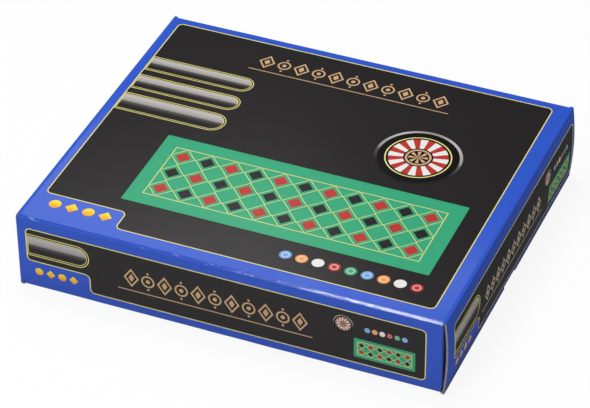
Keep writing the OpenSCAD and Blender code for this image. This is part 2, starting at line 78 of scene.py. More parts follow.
def linear(hex_colour: str) -> tuple[float, float, float, float]:
    """Turns an sRGB hex colour into Blender's linear colour.

    Args:
        hex_colour: Six hex digits with a leading number sign.

    Returns:
        Linear red, green, blue and an alpha of 1.
    """
    parts = [int(hex_colour[i : i + 2], 16) / 255 for i in (1, 3, 5)]
    lin = [c / 12.92 if c <= 0.04045 else ((c + 0.055) / 1.055) ** 2.4 for c in parts]
    return (*lin, 1.0)


def empty_tree(block: bpy.types.ID) -> Tree:
    """Turns on the nodes of a material or world and returns the tree without any."""
    block.use_nodes = True
    block.node_tree.nodes.clear()
    return block.node_tree


def add_object(name: str, data: bpy.types.ID) -> bpy.types.Object:
    """Returns a new object in the scene that holds the given mesh, light or camera."""
    made = bpy.data.objects.new(name, data)
    bpy.context.scene.collection.objects.link(made)
    return made


def connect(made: Node, sockets: dict) -> None:
    """Sets or links a node's inputs.

    Args:
        made: The node.
        sockets: Input name or index to a constant, an output socket, or a node, which stands for
            its first output.
    """
    for key, value in sockets.items():
        source = value.outputs[0] if isinstance(value, Node) else value
        if isinstance(source, Socket):
            made.id_data.links.new(source, made.inputs[key])
        else:
            made.inputs[key].default_value = source


def node(
    tree: Tree,
    kind: str,
    sockets: dict | Sequence = (),
    stops: Sequence[tuple[float, str]] = (),
    **settings: object,
) -> Node:
    """Adds one shader node with its settings, constants and links.

    Args:
        tree: The node tree that receives the node.
        kind: The node's type name, without its leading ShaderNode.
        sockets: What feeds the inputs, in their order or by name: constants, output sockets, or
            nodes, which stand for their first output.
        stops: A colour ramp's places from 0 to 1, each with a hex colour.
        settings: The node's own attributes.

    Returns:
        The new node.
    """
    made = tree.nodes.new("ShaderNode" + kind)
    for key, value in settings.items():
        setattr(made, key, value)
    connect(made, sockets if isinstance(sockets, dict) else dict(enumerate(sockets)))
    for _ in stops[2:]:
        made.color_ramp.elements.new(0.5)
    for i, (place, colour) in enumerate(stops):
        made.color_ramp.elements[i].position = place
        made.color_ramp.elements[i].color = linear(colour)
    return made


def speckled(
    tree: Tree, place: Socket, colour: str, patch: float, detail: float,
    share: float,
) -> Socket:
    """A colour that grows softly lighter in patches, as pigment does in ink and plastic.

    Args:
        tree: The node tree.
        place: Object coordinates.
        colour: The colour as hex.
        patch: Width of a patch in millimetres.
        detail: How many finer octaves lie over the patches.
        share: How strongly they show, from 0 to 1.

    Returns:
        The uneven colour.
    """
    patches = node(tree, "TexNoise", {"Vector": place, "Scale": 1 / (patch * MM), "Detail": detail})
    factor = node(tree, "Math", (patches, share), operation="MULTIPLY")
    return node(
        tree, "Mix", {"Factor": factor, 6: linear(colour), 7: (1, 1, 1, 1)}, data_type="RGBA",
        blend_type="SOFT_LIGHT",
    ).outputs[2]


def grained(
    tree: Tree, place: Socket, shader: Node, grain: float, gloss: Point,
    relief: Point,
) -> None:
    """Breaks up a moulded surface's gloss with a fine grain and lets the grain stand proud.

    Args:
        tree: The node tree.
        place: Object coordinates.
        shader: The Principled node.
        grain: Width of a grain in millimetres.
        gloss: Lowest roughness, and how much the grain adds.
        relief: The grain's height in millimetres, and the bump's strength.
    """
    grains = node(tree, "TexNoise", {"Vector": place, "Scale": 1 / (grain * MM), "Detail": 2})
    connect(shader, {
        "Roughness": node(tree, "Math", (grains, gloss[1], gloss[0]), operation="MULTIPLY_ADD"),
        "Normal": node(tree, "Bump", {"Strength": relief[1], "Distance": relief[0] * MM, "Height": grains}),
    })


def round_axis(
    tree: Tree, place: Socket, axes: tuple[int, int], centre: Point
) -> tuple[Node, Node]:
    """Radius and angle about an axis of the piece.

    Args:
        tree: The node tree.
        place: Object coordinates.
        axes: The two coordinates that cross the axis.
        centre: Where the axis stands in them, in millimetres.

    Returns:
        The nodes that give the radius in metres and the angle in radians.
    """
    parts = node(tree, "SeparateXYZ", (place,)).outputs
    u, v = (node(tree, "Math", (parts[k], c * MM), operation="SUBTRACT") for k, c in zip(axes, centre))
    squares = [node(tree, "Math", (side, 2.0), operation="POWER") for side in (u, v)]
    total = node(tree, "Math", squares, operation="ADD")
    return node(tree, "Math", (total,), operation="SQRT"), node(tree, "Math", (v, u), operation="ARCTAN2")


def laminate(shader: Node, weight: float, roughness: float) -> None:
    """Lays a thin film over an ink, which has no gloss of its own.

    Args:
        shader: The ink's Principled node.
        weight: Share of a full clear coat: handling dulls it, folding burnishes it.
        roughness: The film's roughness.
    """
    connect(shader, {"Specular IOR Level": 0.0, "Coat Weight": weight, "Coat Roughness": roughness})


def flutes(tree: Tree, place: Socket) -> Node:
    """The board's flutes, which run along X under every panel, as a wave from -1 to 1."""
    axes = node(tree, "SeparateXYZ", (place,)).outputs
    across = node(tree, "Math", (axes[1], axes[2]), operation="ADD")
    turns = node(tree, "Math", (across, 2 * math.pi / (FLUTE_PITCH * MM)), operation="MULTIPLY")
    return node(tree, "Math", (turns,), operation="SINE")


def board_bump(
    tree: Tree, place: Socket, strength: float
) -> Socket:
    """Bump of laminated corrugated board: the flutes, a slow warp and a fine grain.

    Args:
        tree: The node tree.
        place: Object coordinates.
        strength: Share of the full effect.

    Returns:
        The bent normal.
    """
    height = node(tree, "Math", (flutes(tree, place), 0.004 * MM), operation="MULTIPLY")
    for patch, detail, rise in ((55, 1, 0.45), (1.4, 2, 0.012)):
        patches = node(tree, "TexNoise", {"Vector": place, "Scale": 1 / (patch * MM), "Detail": detail})
        height = node(tree, "Math", (patches, rise * MM, height), operation="MULTIPLY_ADD")
    return node(tree, "Bump", {"Strength": strength, "Distance": 1.0, "Height": height}).outputs[0]


# finishes


@dataclass(frozen=True)
class Finish:
    """A finish, named for what it is; each kind paints its material in its own way."""

    name: str

    def build(self) -> Material:
        """Returns the finished material."""
        material = bpy.data.materials.new(self.name)
        tree = empty_tree(material)
        shader = node(tree, "BsdfPrincipled")
        node(tree, "OutputMaterial", {"Surface": shader})
        self.paint(tree, node(tree, "TexCoord").outputs["Object"], shader)
        return material

    def paint(self, tree: Tree, place: Socket, shader: Node) -> None:
        """Lays the colour, the gloss and the relief.

        Args:
            tree: The material's node tree.
            place: Object coordinates: the place on the piece in metres.
            shader: The Principled node.
        """
        raise NotImplementedError


@dataclass(frozen=True)
class LaminatedInk(Finish):
    """Offset ink under glossy film on fine corrugated board.

    The film gives a smooth sheen; the flutes under it show as faint parallel waves.
    """

    colour: str
    roughness: float = 0.3
    film: float = 0.35
    film_roughness: float = 0.2
    # Burnished folds also get pale scuffs, which serve partly as painted highlight
    burnished: bool = False

    def paint(self, tree: Tree, place: Socket, shader: Node) -> None:
        """Lays the ink, its rubbed gloss and the film; Args as in Finish."""
        tint = speckled(tree, place, self.colour, 9, 3, 0.1)
        rub = node(tree, "TexNoise", {"Vector": place, "Scale": 1 / (26 * MM), "Detail": 4})
        connect(shader, {
            # On the folds the ink gets pale scuffs, part wear and part painted highlight
            "Base Color": self._scuffs(tree, place, tint) if self.burnished else tint,
            "Roughness": node(tree, "Math", (rub, 0.12, self.roughness - 0.06), operation="MULTIPLY_ADD"),
            "Normal": board_bump(tree, place, 0.6 if self.burnished else 1.0),
        })
        laminate(shader, self.film, self.film_roughness)

    def _scuffs(
        self, tree: Tree, place: Socket, tint: Socket
    ) -> Socket:
        """Paints pale scuffs where the film has cracked along the long folds; the same marks also stand in
        as painted highlight on the folds.

        Args:
            tree: The node tree.
            place: Object coordinates.
            tint: The ink's colour.

        Returns:
            The colour with its scuffs and painted highlight.
        """
        axes = node(tree, "SeparateXYZ", (place,)).outputs
        squares = []
        for axis, centre, fold in ((1, 0.0, FOLD_Y), (2, MID_Z, FOLD_RISE)):
            away = node(tree, "Math", (axes[axis], centre * MM), operation="SUBTRACT")
            side = node(tree, "Math", (away,), operation="ABSOLUTE")
            gap = node(tree, "Math", (side, fold * MM), operation="SUBTRACT")
            squares.append(node(tree, "Math", (gap, 2.0), operation="POWER"))
        total = node(tree, "Math", squares, operation="ADD")
        corner = node(tree, "Math", (total,), operation="SQRT")
        near = node(tree, "MapRange", (corner, 0.4 * MM, 1.6 * MM, 1.0, 0.0))
        stretched = node(tree, "Mapping", {"Vector": place, "Scale": (0.25, 1.0, 1.0)})
        cracks = node(tree, "TexNoise", {"Vector": stretched, "Scale": 1 / (2.2 * MM), "Detail": 5})
        torn = node(tree, "Math", (cracks, 0.6), operation="GREATER_THAN")
        # Pale marks where the cracked film lies near a fold: part scuff, part painted highlight
        scuff_and_highlight_mask = node(tree, "Math", (near, torn), operation="MULTIPLY")
        share = node(tree, "Math", (scuff_and_highlight_mask, 0.55), operation="MULTIPLY")
        mixed = {"Factor": share, 6: tint, 7: linear("#c9d2ee")}
        return node(tree, "Mix", mixed, data_type="RGBA").outputs[2]


@dataclass(frozen=True)
class GlossRamp(Finish):
    """Laminated ink whose colour runs from the top of each shape to its foot, by its own UV map."""

    stops: tuple[tuple[float, str], ...]
    roughness: float = 0.3
    film: float = 0.35
    film_roughness: float = 0.2

    def paint(self, tree: Tree, place: Socket, shader: Node) -> None:
        """Lays the gradient and the film; Args as in Finish."""
        rise = node(tree, "SeparateXYZ", (node(tree, "UVMap", uv_map="shape"),)).outputs[1]
        connect(shader, {
            "Base Color": node(tree, "ValToRGB", (rise,), stops=self.stops),
            "Roughness": self.roughness,
            "Normal": board_bump(tree, place, 1.0),
        })
        laminate(shader, self.film, self.film_roughness)


@dataclass(frozen=True)
class RawBoard(Finish):
    """Cut edge of grey recycled board: two paper liners, and between them the flutes, darkened as painted
    shade where their hollows lie.
    """

    paper: str = "#a79ea3"
    hollow: str = "#5d5658"

    def paint(self, tree: Tree, place: Socket, shader: Node) -> None:
        """Lays the fibres and the painted shade in the flutes' hollows; Args as in Finish."""
        stretched = node(tree, "Mapping", {"Vector": place, "Scale": (0.3, 0.3, 1.0)})
        fibres = node(tree, "TexNoise", {"Vector": stretched, "Scale": 1 / (0.5 * MM), "Detail": 4})
        # Painted shade: the edge is mixed a quarter of the way towards the hollow colour where the flutes'
        # hollows lie
        gap = node(tree, "Math", (flutes(tree, place), 0.2), operation="GREATER_THAN")
        dark = node(tree, "Math", (gap, 0.25), operation="MULTIPLY")
        stops = ((0.3, self.hollow), (0.5, self.paper), (0.8, "#c4bcc0"))
        base = node(tree, "ValToRGB", (fibres,), stops=stops)
        mixed = {"Factor": dark, 6: base, 7: linear(self.hollow)}
        connect(shader, {
            "Base Color": node(tree, "Mix", mixed, data_type="RGBA").outputs[2],
            "Roughness": 0.92,
            "Specular IOR Level": 0.15,
            "Normal": node(tree, "Bump", {"Strength": 0.6, "Distance": 0.15 * MM, "Height": fibres}),
        })


@dataclass(frozen=True)
class PlainLiner(Finish):
    """Uncoated recycled paper liner: dull, flecked, with the flutes just showing through."""

    colour: str
    fleck: str

    def paint(self, tree: Tree, place: Socket, shader: Node) -> None:
        """Lays the paper and its flecks; Args as in Finish."""
        patches = node(tree, "TexNoise", {"Vector": place, "Scale": 1 / (14 * MM), "Detail": 4})
        flecks = node(tree, "TexNoise", {"Vector": place, "Scale": 1 / (0.9 * MM), "Detail": 3})
        stops = ((0.25, self.fleck), (0.55, self.colour), (0.8, self.colour))
        mixed = {
            "Factor": node(tree, "Math", (flecks, 0.66), operation="GREATER_THAN"),
            6: node(tree, "ValToRGB", (patches,), stops=stops),
            7: linear(self.fleck),
        }
        connect(shader, {
            "Base Color": node(tree, "Mix", mixed, data_type="RGBA").outputs[2],
            "Roughness": 0.85,
            "Specular IOR Level": 0.2,
            "Normal": board_bump(tree, place, 1.6),
        })


@dataclass(frozen=True)
class MouldedPlastic(Finish):
    """Injection-moulded polystyrene: even colour with slight flow marks under a semi-gloss skin."""

    colour: str
    roughness: float = 0.32
    grain: float = 0.8
    coat: float = 0.0

    def paint(self, tree: Tree, place: Socket, shader: Node) -> None:
        """Lays the plastic; Args as in Finish."""
        tint = speckled(tree, place, self.colour, 22, 3, 0.14)
        connect(shader, {"Base Color": tint, "IOR": 1.55, "Coat Weight": self.coat})
        grained(tree, place, shader, self.grain, (self.roughness - 0.08, 0.16), (0.03, 0.25))


@dataclass(frozen=True)
class PolishedMetal(Finish):
    """Bright plated or turned metal with fine lathe lines round its own axis."""

    colour: str
    axis: Point
    roughness: float = 0.2
    line: float = 0.4

    def paint(self, tree: Tree, place: Socket, shader: Node) -> None:
        """Lays the lathe lines and the finger marks; Args as in Finish."""
        shift = (-self.axis[0] * MM, -self.axis[1] * MM, 0)
        shifted = node(tree, "Mapping", {"Vector": place, "Location": shift})
        # A wave texture of scale 1 has a line every 1/20 of a unit
        wave = {"Vector": shifted, "Scale": 1 / (20 * self.line * MM), "Distortion": 1.5, "Detail": 2}
        lines = node(tree, "TexWave", wave, wave_type="RINGS", rings_direction="Z").outputs["Fac"]
        marks = node(tree, "TexNoise", {"Vector": place, "Scale": 1 / (8 * MM), "Detail": 3})
        dull = node(tree, "Math", (marks, 0.14, self.roughness - 0.08), operation="MULTIPLY_ADD")
        connect(shader, {
            "Base Color": linear(self.colour),
            "Metallic": 1.0,
            "Roughness": node(tree, "Math", (lines, 0.07, dull), operation="MULTIPLY_ADD"),
            "Normal": node(tree, "Bump", {"Strength": 0.12, "Distance": 0.02 * MM, "Height": lines}),
        })


@dataclass(frozen=True)
class SpottedChip(Finish):
    """Moulded chip: six pale inserts round the edge, set by the angle about the row's axis."""

    colour: str
    axis: Point
    row_start: float
    spot: str = "#e9e6dc"
    spots: int = 6
    pitch: float = 3.3

    def paint(self, tree: Tree, place: Socket, shader: Node) -> None:
        """Lays the plastic and its inserts, turned anew on every chip; Args as in Finish."""
        radius, turn = round_axis(tree, place, (0, 2), self.axis)
        along = node(tree, "SeparateXYZ", (place,)).outputs[1]
        start = node(tree, "Math", (along, self.row_start * MM), operation="SUBTRACT")
        steps = node(tree, "Math", (start, self.pitch * MM), operation="DIVIDE")
        number = node(tree, "Math", (steps,), operation="FLOOR")
        chance = node(tree, "TexWhiteNoise", {"W": number}, noise_dimensions="1D")
        spread = node(tree, "Math", (turn, float(self.spots)), operation="MULTIPLY")
        turned = node(tree, "Math", (chance, 9.0, spread), operation="MULTIPLY_ADD")
        wave = node(tree, "Math", (turned,), operation="SINE")
        rim = node(tree, "Math", (radius, 9.2 * MM), operation="GREATER_THAN")
        pale = node(tree, "Math", (wave, 0.45), operation="GREATER_THAN")
        insert = node(tree, "Math", (rim, pale), operation="MULTIPLY")
        off_ring = node(tree, "Math", (radius, 7.4 * MM), operation="SUBTRACT")
        near = node(tree, "Math", (off_ring,), operation="ABSOLUTE")
        ring = node(tree, "Math", (near, 0.5 * MM), operation="LESS_THAN")
        mixed = {
            "Factor": node(tree, "Math", (insert, ring), operation="MAXIMUM"),
            6: linear(self.colour),
            7: linear(self.spot),
        }
        connect(shader, {"Base Color": node(tree, "Mix", mixed, data_type="RGBA").outputs[2]})
        grained(tree, place, shader, 0.9, (0.3, 0.15), (0.04, 0.3))


@dataclass(frozen=True)
class NumberPrint(Finish):
    """The wheel's number band: pockets in red and black with one green, between thin gold rules."""

    centre: Point
    pockets: int

    def paint(self, tree: Tree, place: Socket, shader: Node) -> None:
        """Lays the fields by the angle about the wheel's axis; Args as in Finish."""
        turn = round_axis(tree, place, (0, 1), self.centre)[1]
        first = 1 + 0.5 / self.pockets
        turns = node(tree, "Math", (turn, 1 / (2 * math.pi), first), operation="MULTIPLY_ADD")
        share = node(tree, "Math", (turns,), operation="FRACT")
        step = node(tree, "Math", (share, float(self.pockets)), operation="MULTIPLY")
        number = node(tree, "Math", (step,), operation="FLOOR")
        part = node(tree, "Math", (step,), operation="FRACT")
        off_middle = node(tree, "Math", (part, 0.5), operation="SUBTRACT")
        edge = node(tree, "Math", (off_middle,), operation="ABSOLUTE")
        tint = linear("#17171a")
        for mask, colour in (
            (node(tree, "Math", (number, 2.0), operation="MODULO"), "#a81f24"),
            (node(tree, "Math", (number, 0.5), operation="LESS_THAN"), "#1c7a46"),
            (node(tree, "Math", (edge, 0.465), operation="GREATER_THAN"), "#d9bd6a"),
        ):
            mixed = {"Factor": mask, 6: tint, 7: linear(colour)}
            tint = node(tree, "Mix", mixed, data_type="RGBA").outputs[2]
        grains = node(tree, "TexNoise", {"Vector": place, "Scale": 1 / (1.2 * MM), "Detail": 2})
        gloss = node(tree, "Math", (grains, 0.1, 0.25), operation="MULTIPLY_ADD")
        connect(shader, {"Base Color": tint, "Roughness": gloss})


@dataclass(frozen=True)
class Felt(Finish):
    """Needled felt: matted fibres a few tenths of a millimetre thick, with a soft sheen."""

    colour: str

    def paint(self, tree: Tree, place: Socket, shader: Node) -> None:
        """Lays the fibres; Args as in Finish."""
        fibres = node(tree, "TexNoise", {"Vector": place, "Scale": 1 / (0.7 * MM), "Detail": 5})
        patches = node(tree, "TexNoise", {"Vector": place, "Scale": 1 / (18 * MM), "Detail": 3})
        uneven = node(tree, "Math", (patches, 0.25), operation="MULTIPLY")
        mixed = {
            "Factor": node(tree, "Math", (fibres, 0.5, uneven), operation="MULTIPLY_ADD"),
            6: linear(self.colour),
            7: linear("#9fd0b0"),
        }
        connect(shader, {
            "Base Color": node(tree, "Mix", mixed, data_type="RGBA", blend_type="SOFT_LIGHT").outputs[2],
            "Roughness": 0.95,
            "Specular IOR Level": 0.1,
            "Sheen Weight": 0.4,
            "Sheen Roughness": 0.5,
            "Normal": node(tree, "Bump", {"Strength": 0.8, "Distance": 0.2 * MM, "Height": fibres}),
        })


# mesh helpers


def finish_piece(
    name: str,
    bm: Mesh,
    materials: Sequence[Material],
    body: str,
    replaced: Iterable[str] = (),
    smooth_angle: float = 30.0,
) -> bpy.types.Object:
    """Turns a bmesh in millimetres into a finished object that rides on a body.

    Args:
        name: The piece's name.
        bm: The mesh, freed here.
        materials: The piece's materials, in slot order.
        body: The CAD body that the piece moves with.
        replaced: CAD nodes that the piece stands for.
        smooth_angle: Faces that meet under this angle are shaded as one.

    Returns:
        The new object.
    """
    bmesh.ops.scale(bm, vec=(MM, MM, MM), verts=bm.verts)
    for face in bm.faces:
        face.smooth = True
    limit = math.radians(smooth_angle)
    for edge in bm.edges:
        edge.smooth = edge.calc_face_angle(math.pi) < limit
    mesh = bpy.data.meshes.new(name)
    bm.to_mesh(mesh)
    bm.free()
    for material in materials:
        mesh.materials.append(material)
    piece = bpy.data.objects.new(name, mesh)
    bpy.context.scene.collection.objects.link(piece)
    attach(piece, body)
    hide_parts(*replaced)
    return piece


def round_corners(
    bm: Mesh, corners: list[bmesh.types.BMVert], radius: float, segments: int
) -> None:
    """Rounds corners of a flat outline.

    Args:
        bm: The mesh.
        corners: The corners to round.
        radius: Distance from a corner to where its rounding starts.
        segments: Number of straight parts in a rounding.
    """
    bmesh.ops.bevel(
        bm, geom=corners, offset=radius, offset_type="OFFSET", segments=segments, profile=0.5,
        affect="VERTICES", material=-1, clamp_overlap=True,
    )


def mirror(bm: Mesh, signs: tuple[int, int, int]) -> None:
    """Mirrors a mesh by the signs of its axes, with its faces still facing outwards."""
    bmesh.ops.scale(bm, vec=signs, verts=bm.verts)
    bmesh.ops.reverse_faces(bm, faces=bm.faces[:])


def slab(outline: list[tuple], along: tuple[float, float, float]) -> Mesh:
    """Pushes a flat outline along a direction.

    Args:
        outline: The corners, each with three coordinates.
        along: Direction and thickness.

    Returns:
        The solid's mesh.
    """
    bm = bmesh.new()
    bm.faces.new([bm.verts.new(corner) for corner in outline])
    thicken(bm, Vector(along))
    return bm


def thicken(bm: Mesh, lift: Vector) -> None:
    """Extrudes every face of a flat shape along a vector and points all faces outwards.

    Args:
        bm: The flat shape.
        lift: The way and distance of the extrusion.
    """
    made = bmesh.ops.extrude_face_region(bm, geom=bm.faces[:])
    moved = [v for v in made["geom"] if isinstance(v, bmesh.types.BMVert)]
    bmesh.ops.translate(bm, verts=moved, vec=lift)
    bmesh.ops.recalc_face_normals(bm, faces=bm.faces[:])


def cut_across(bm: Mesh, normal: Vector, places: Iterable[float]) -> None:
    """Cuts a mesh by parallel planes, so that it can bend.

    Args:
        bm: The mesh.
        normal: The planes' direction.
        places: Distances of the planes from the origin.
    """
    for place in places:
        bmesh.ops.bisect_plane(
            bm, geom=bm.verts[:] + bm.edges[:] + bm.faces[:], dist=1e-5, plane_co=normal * place,
            plane_no=normal,
        )


def append_mesh(target: Mesh, part: Mesh) -> None:
    """Copies one bmesh into another and frees the first.

    Args:
        target: The mesh that grows.
        part: The mesh that is copied, then freed.
    """
    carrier = bpy.data.meshes.new("carrier")
    part.to_mesh(carrier)
    part.free()
    target.from_mesh(carrier)
    bpy.data.meshes.remove(carrier)


def arc(centre: Point, radius: float, start: float, stop: float, steps: int) -> list[Point]:
    """Points along an arc.

    Args:
        centre: The arc's centre.
        radius: Its radius.
        start: First angle in degrees.
        stop: Last angle in degrees.
        steps: Number of chords.

    Returns:
        steps + 1 points.
    """
    angles = [math.radians(start + (stop - start) * i / steps) for i in range(steps + 1)]
    return [(centre[0] + radius * math.cos(a), centre[1] + radius * math.sin(a)) for a in angles]


def extent(bm: Mesh) -> tuple[list[float], list[float]]:
    """Lowest and highest x and y of a mesh."""
    return tuple([pick(v.co[i] for v in bm.verts) for i in (0, 1)] for pick in (min, max))


def rectangle(x0: float, y0: float, x1: float, y1: float) -> list[Point]:
    """Corners of an upright rectangle, from two of them that lie across."""
    return [(x0, y0), (x1, y0), (x1, y1), (x0, y1)]


def numeral(text: str, height: float) -> Mesh:
    """A plain number as a flat mesh, centred on the origin and facing +Z.

    Args:
        text: The number's digits.
        height: Height of a digit.

    Returns:
        The flat mesh.
    """
    curve = bpy.data.curves.new("numeral", "FONT")
    curve.body = text
    curve.resolution_u = 2
    holder = bpy.data.objects.new("numeral", curve)
    mesh = bpy.data.meshes.new_from_object(holder)
    bm = bmesh.new()
    bm.from_mesh(mesh)
    bpy.data.objects.remove(holder)
    bpy.data.curves.remove(curve)
    bpy.data.meshes.remove(mesh)
    bmesh.ops.remove_doubles(bm, verts=bm.verts, dist=1e-4)
    low, high = extent(bm)
    centre = Vector(((low[0] + high[0]) / 2, (low[1] + high[1]) / 2, 0))
    bmesh.ops.translate(bm, verts=bm.verts, vec=-centre)
    size = height / (high[1] - low[1])
    bmesh.ops.scale(bm, vec=(size, size, size), verts=bm.verts)
    return bm


def dress(node: str, material: Material) -> None:
    """Gives a CAD node its finished material.

    Args:
        node: The CAD node, which keeps its shape.
        material: The finish.
    """
    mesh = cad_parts[node].data
    mesh.materials.clear()
    mesh.materials.append(material)
    LOG.info("dressed %s in %s", node, material.name)


# printed sheets


class Ink(Enum):
    """The inks of the printed sheets, in the order of their material slots."""

    BLACK = 0
    CREAM = 1
    GOLD = 2
    GREEN = 3
    RED = 4
    PILL = 5
    SUNNY = 6
    BLUE = 7
    ORANGE = 8
    WHITE = 9
    JET = 10


# Ink under film: deep colour with a pale sheen where it is seen at a grazing angle
INKS = {
    Ink.BLACK: LaminatedInk("ink_black", "#232021"), Ink.CREAM: LaminatedInk("ink_cream", "#eadf86"),
    Ink.GOLD: LaminatedInk("ink_gold", "#c9a57c"), Ink.GREEN: LaminatedInk("ink_green", "#35a276"),
    Ink.RED: LaminatedInk("ink_red", "#b8352f"),
    Ink.PILL: GlossRamp(
        "ink_pill_gradient",
        (
            (0.0, "#1b1819"), (0.3, "#242122"), (0.5, "#575251"), (0.56, "#9a9694"), (0.9, "#bdbab8"),
            (1.0, "#8b8786"),
        ),
    ),
    Ink.SUNNY: GlossRamp("ink_yellow_to_orange", ((0.0, "#ee8a1c"), (0.45, "#f7c21e"), (1.0, "#fbe93a"))),
    Ink.BLUE: LaminatedInk("ink_light_blue", "#6d9fdb"),
    Ink.ORANGE: LaminatedInk("ink_orange", "#e99a4d"), Ink.WHITE: LaminatedInk("ink_white", "#e6e6e4"),
    Ink.JET: LaminatedInk("ink_jet", "#0e0d0e"),
}


def dulled(ink: LaminatedInk | GlossRamp) -> LaminatedInk | GlossRamp:
    """The same ink on the end panels, whose film is rubbed dull by hands."""
    colour = {"colour": "#dcc7ab"} if ink is INKS[Ink.GOLD] else {}
    return replace(ink, name="end_" + ink.name, film=0.1, film_roughness=0.3, **colour)


class Ground(Protocol):
    """Anything that a flat print can be laid on."""

    def place(self, bm: Mesh) -> None:
        """Moves a flat print onto the ground."""


@dataclass
class Face:
    """One printed face of the carton, in flat millimetres: u to the right and v up as it is read."""

    corner: Vector
    right: Vector
    up: Vector
    width: float
    height: float
    bow_radius: float = 0.0
    bow_centre: float = 0.0
    cuts: tuple[float, ...] = ()

    def place(self, bm: Mesh) -> None:
        """Moves a flat print onto the face, bent where the face bulges.

        Args:
            bm: Print whose x, y and z are u, v and height over the board.
        """
        if self.bow_radius:
            cut_across(bm, Vector((0, 1, 0)), self.cuts)
        out = self.right.cross(self.up)
        for vert in bm.verts:
            u, v, h = vert.co
            base = self.corner + self.right * u + self.up * v
            if self.bow_radius:
                turn = math.asin((v - self.bow_centre) / self.bow_radius)
                rise = (self.bow_radius + h) * math.cos(turn)
                base += out * rise + self.up * h * math.sin(turn)
            else:
                base += out * h
            vert.co = base


class PrintSheet:
    """Collects the printed shapes of one face as thin closed slabs, layer over layer."""

    BED = -0.06
    STEP = 0.018

    def __init__(self, name: str, ground: Ground) -> None:
        """Starts an empty sheet.

        Args:
            name: The piece's name.
            ground: What the sheet lies on.
        """
        self.name = name
        self.ground = ground
        self.bm = bmesh.new()

    def shape(
        self, points: Sequence[Point], ink: Enum, layer: int, radius: float = 0.0,
        rounded: Optional[Sequence[int]] = None, line: float = 0.0,
    ) -> None:
        """Adds one shape.

        Args:
            points: The outline's corners.
            ink: Its ink.
            layer: Its height in the stack of layers, from 1.
            radius: Radius of the rounded corners.
            rounded: Which corners are rounded; all if not given.
            line: Width of the outline if the shape is hollow.
        """
        bm = bmesh.new()
        verts = [bm.verts.new((x, y, self.BED)) for x, y in points]
        bm.faces.new(verts)
        if radius:
            chosen = verts if rounded is None else [verts[i] for i in rounded]
            round_corners(bm, chosen, radius, 6)
        if line:
            bm.normal_update()
            ring = bmesh.ops.inset_region(
                bm, faces=bm.faces[:], thickness=line, use_even_offset=True, use_boundary=True
            )["faces"]
            bmesh.ops.delete(bm, geom=[f for f in bm.faces if f not in ring], context="FACES")
        self._store(bm, ink, layer)

    def disc(
        self, centre: Point, radius: float, ink: Enum, layer: int, line: float = 0.0, sides: int = 32
    ) -> None:
        """Adds a disc or a ring.

        Args:
            centre: Its centre.
            radius: Its outer radius.
            ink: Its ink.
            layer: Its layer.
            line: Width of the ring if it is hollow.
            sides: Number of sides of the circle.
        """
        self.shape(arc(centre, radius, 0, 360 - 360 / sides, sides - 1), ink, layer, line=line)

    def bar(self, x0: float, y0: float, x1: float, y1: float, ink: Enum, layer: int) -> None:
        """Adds a plain upright rectangle between two corners."""
        self.shape(rectangle(x0, y0, x1, y1), ink, layer)

    def lozenge(
        self, centre: Point, half_w: float, half_h: float, ink: Enum, layer: int, line: float = 0.0
    ) -> None:
        """Adds a lozenge.

        Args:
            centre: Its centre.
            half_w: Half its width.
            half_h: Half its height.
            ink: Its ink.
            layer: Its layer.
            line: Width of the outline if it is hollow.
        """
        x, y = centre
        self.shape(
            [(x - half_w, y), (x, y - half_h), (x + half_w, y), (x, y + half_h)], ink, layer, line=line
        )

    def number(
        self, text: str, centre: Point, height: float, ink: Enum, layer: int, turn: float = 0.0
    ) -> None:
        """Adds a plain number.

        Args:
            text: Its digits.
            centre: Its middle.
            height: Height of a digit.
            ink: Its ink.
            layer: Its layer.
            turn: Its turn in degrees.
        """
        bm = numeral(text, height)
        bmesh.ops.rotate(
            bm, verts=bm.verts, cent=(0, 0, 0), matrix=Matrix.Rotation(math.radians(turn), 3, "Z")
        )
        bmesh.ops.translate(bm, verts=bm.verts, vec=(*centre, self.BED))
        self._store(bm, ink, layer)

    def _store(self, bm: Mesh, ink: Enum, layer: int) -> None:
        """Gives a flat shape its height, its UV map and its ink, and adds it to the sheet."""
        thicken(bm, Vector((0, 0, layer * self.STEP - self.BED)))
        low, high = extent(bm)
        uv = bm.loops.layers.uv.new("shape")
        for face in bm.faces:
            face.material_index = ink.value
            for loop in face.loops:
                loop[uv].uv = [(loop.vert.co[i] - low[i]) / (high[i] - low[i]) for i in (0, 1)]
        append_mesh(self.bm, bm)

    def finish(
        self, inks: Sequence[Material], body: str
    ) -> bpy.types.Object:
        """Lays the sheet on its ground.

        Args:
            inks: The built inks, in slot order.
            body: The body that carries the print.

        Returns:
            The finished piece.
        """
        self.ground.place(self.bm)
        bmesh.ops.recalc_face_normals(self.bm, faces=self.bm.faces[:])
        piece = finish_piece(self.name, self.bm, inks, body)
        LOG.info("printed %s", self.name)
        return piece


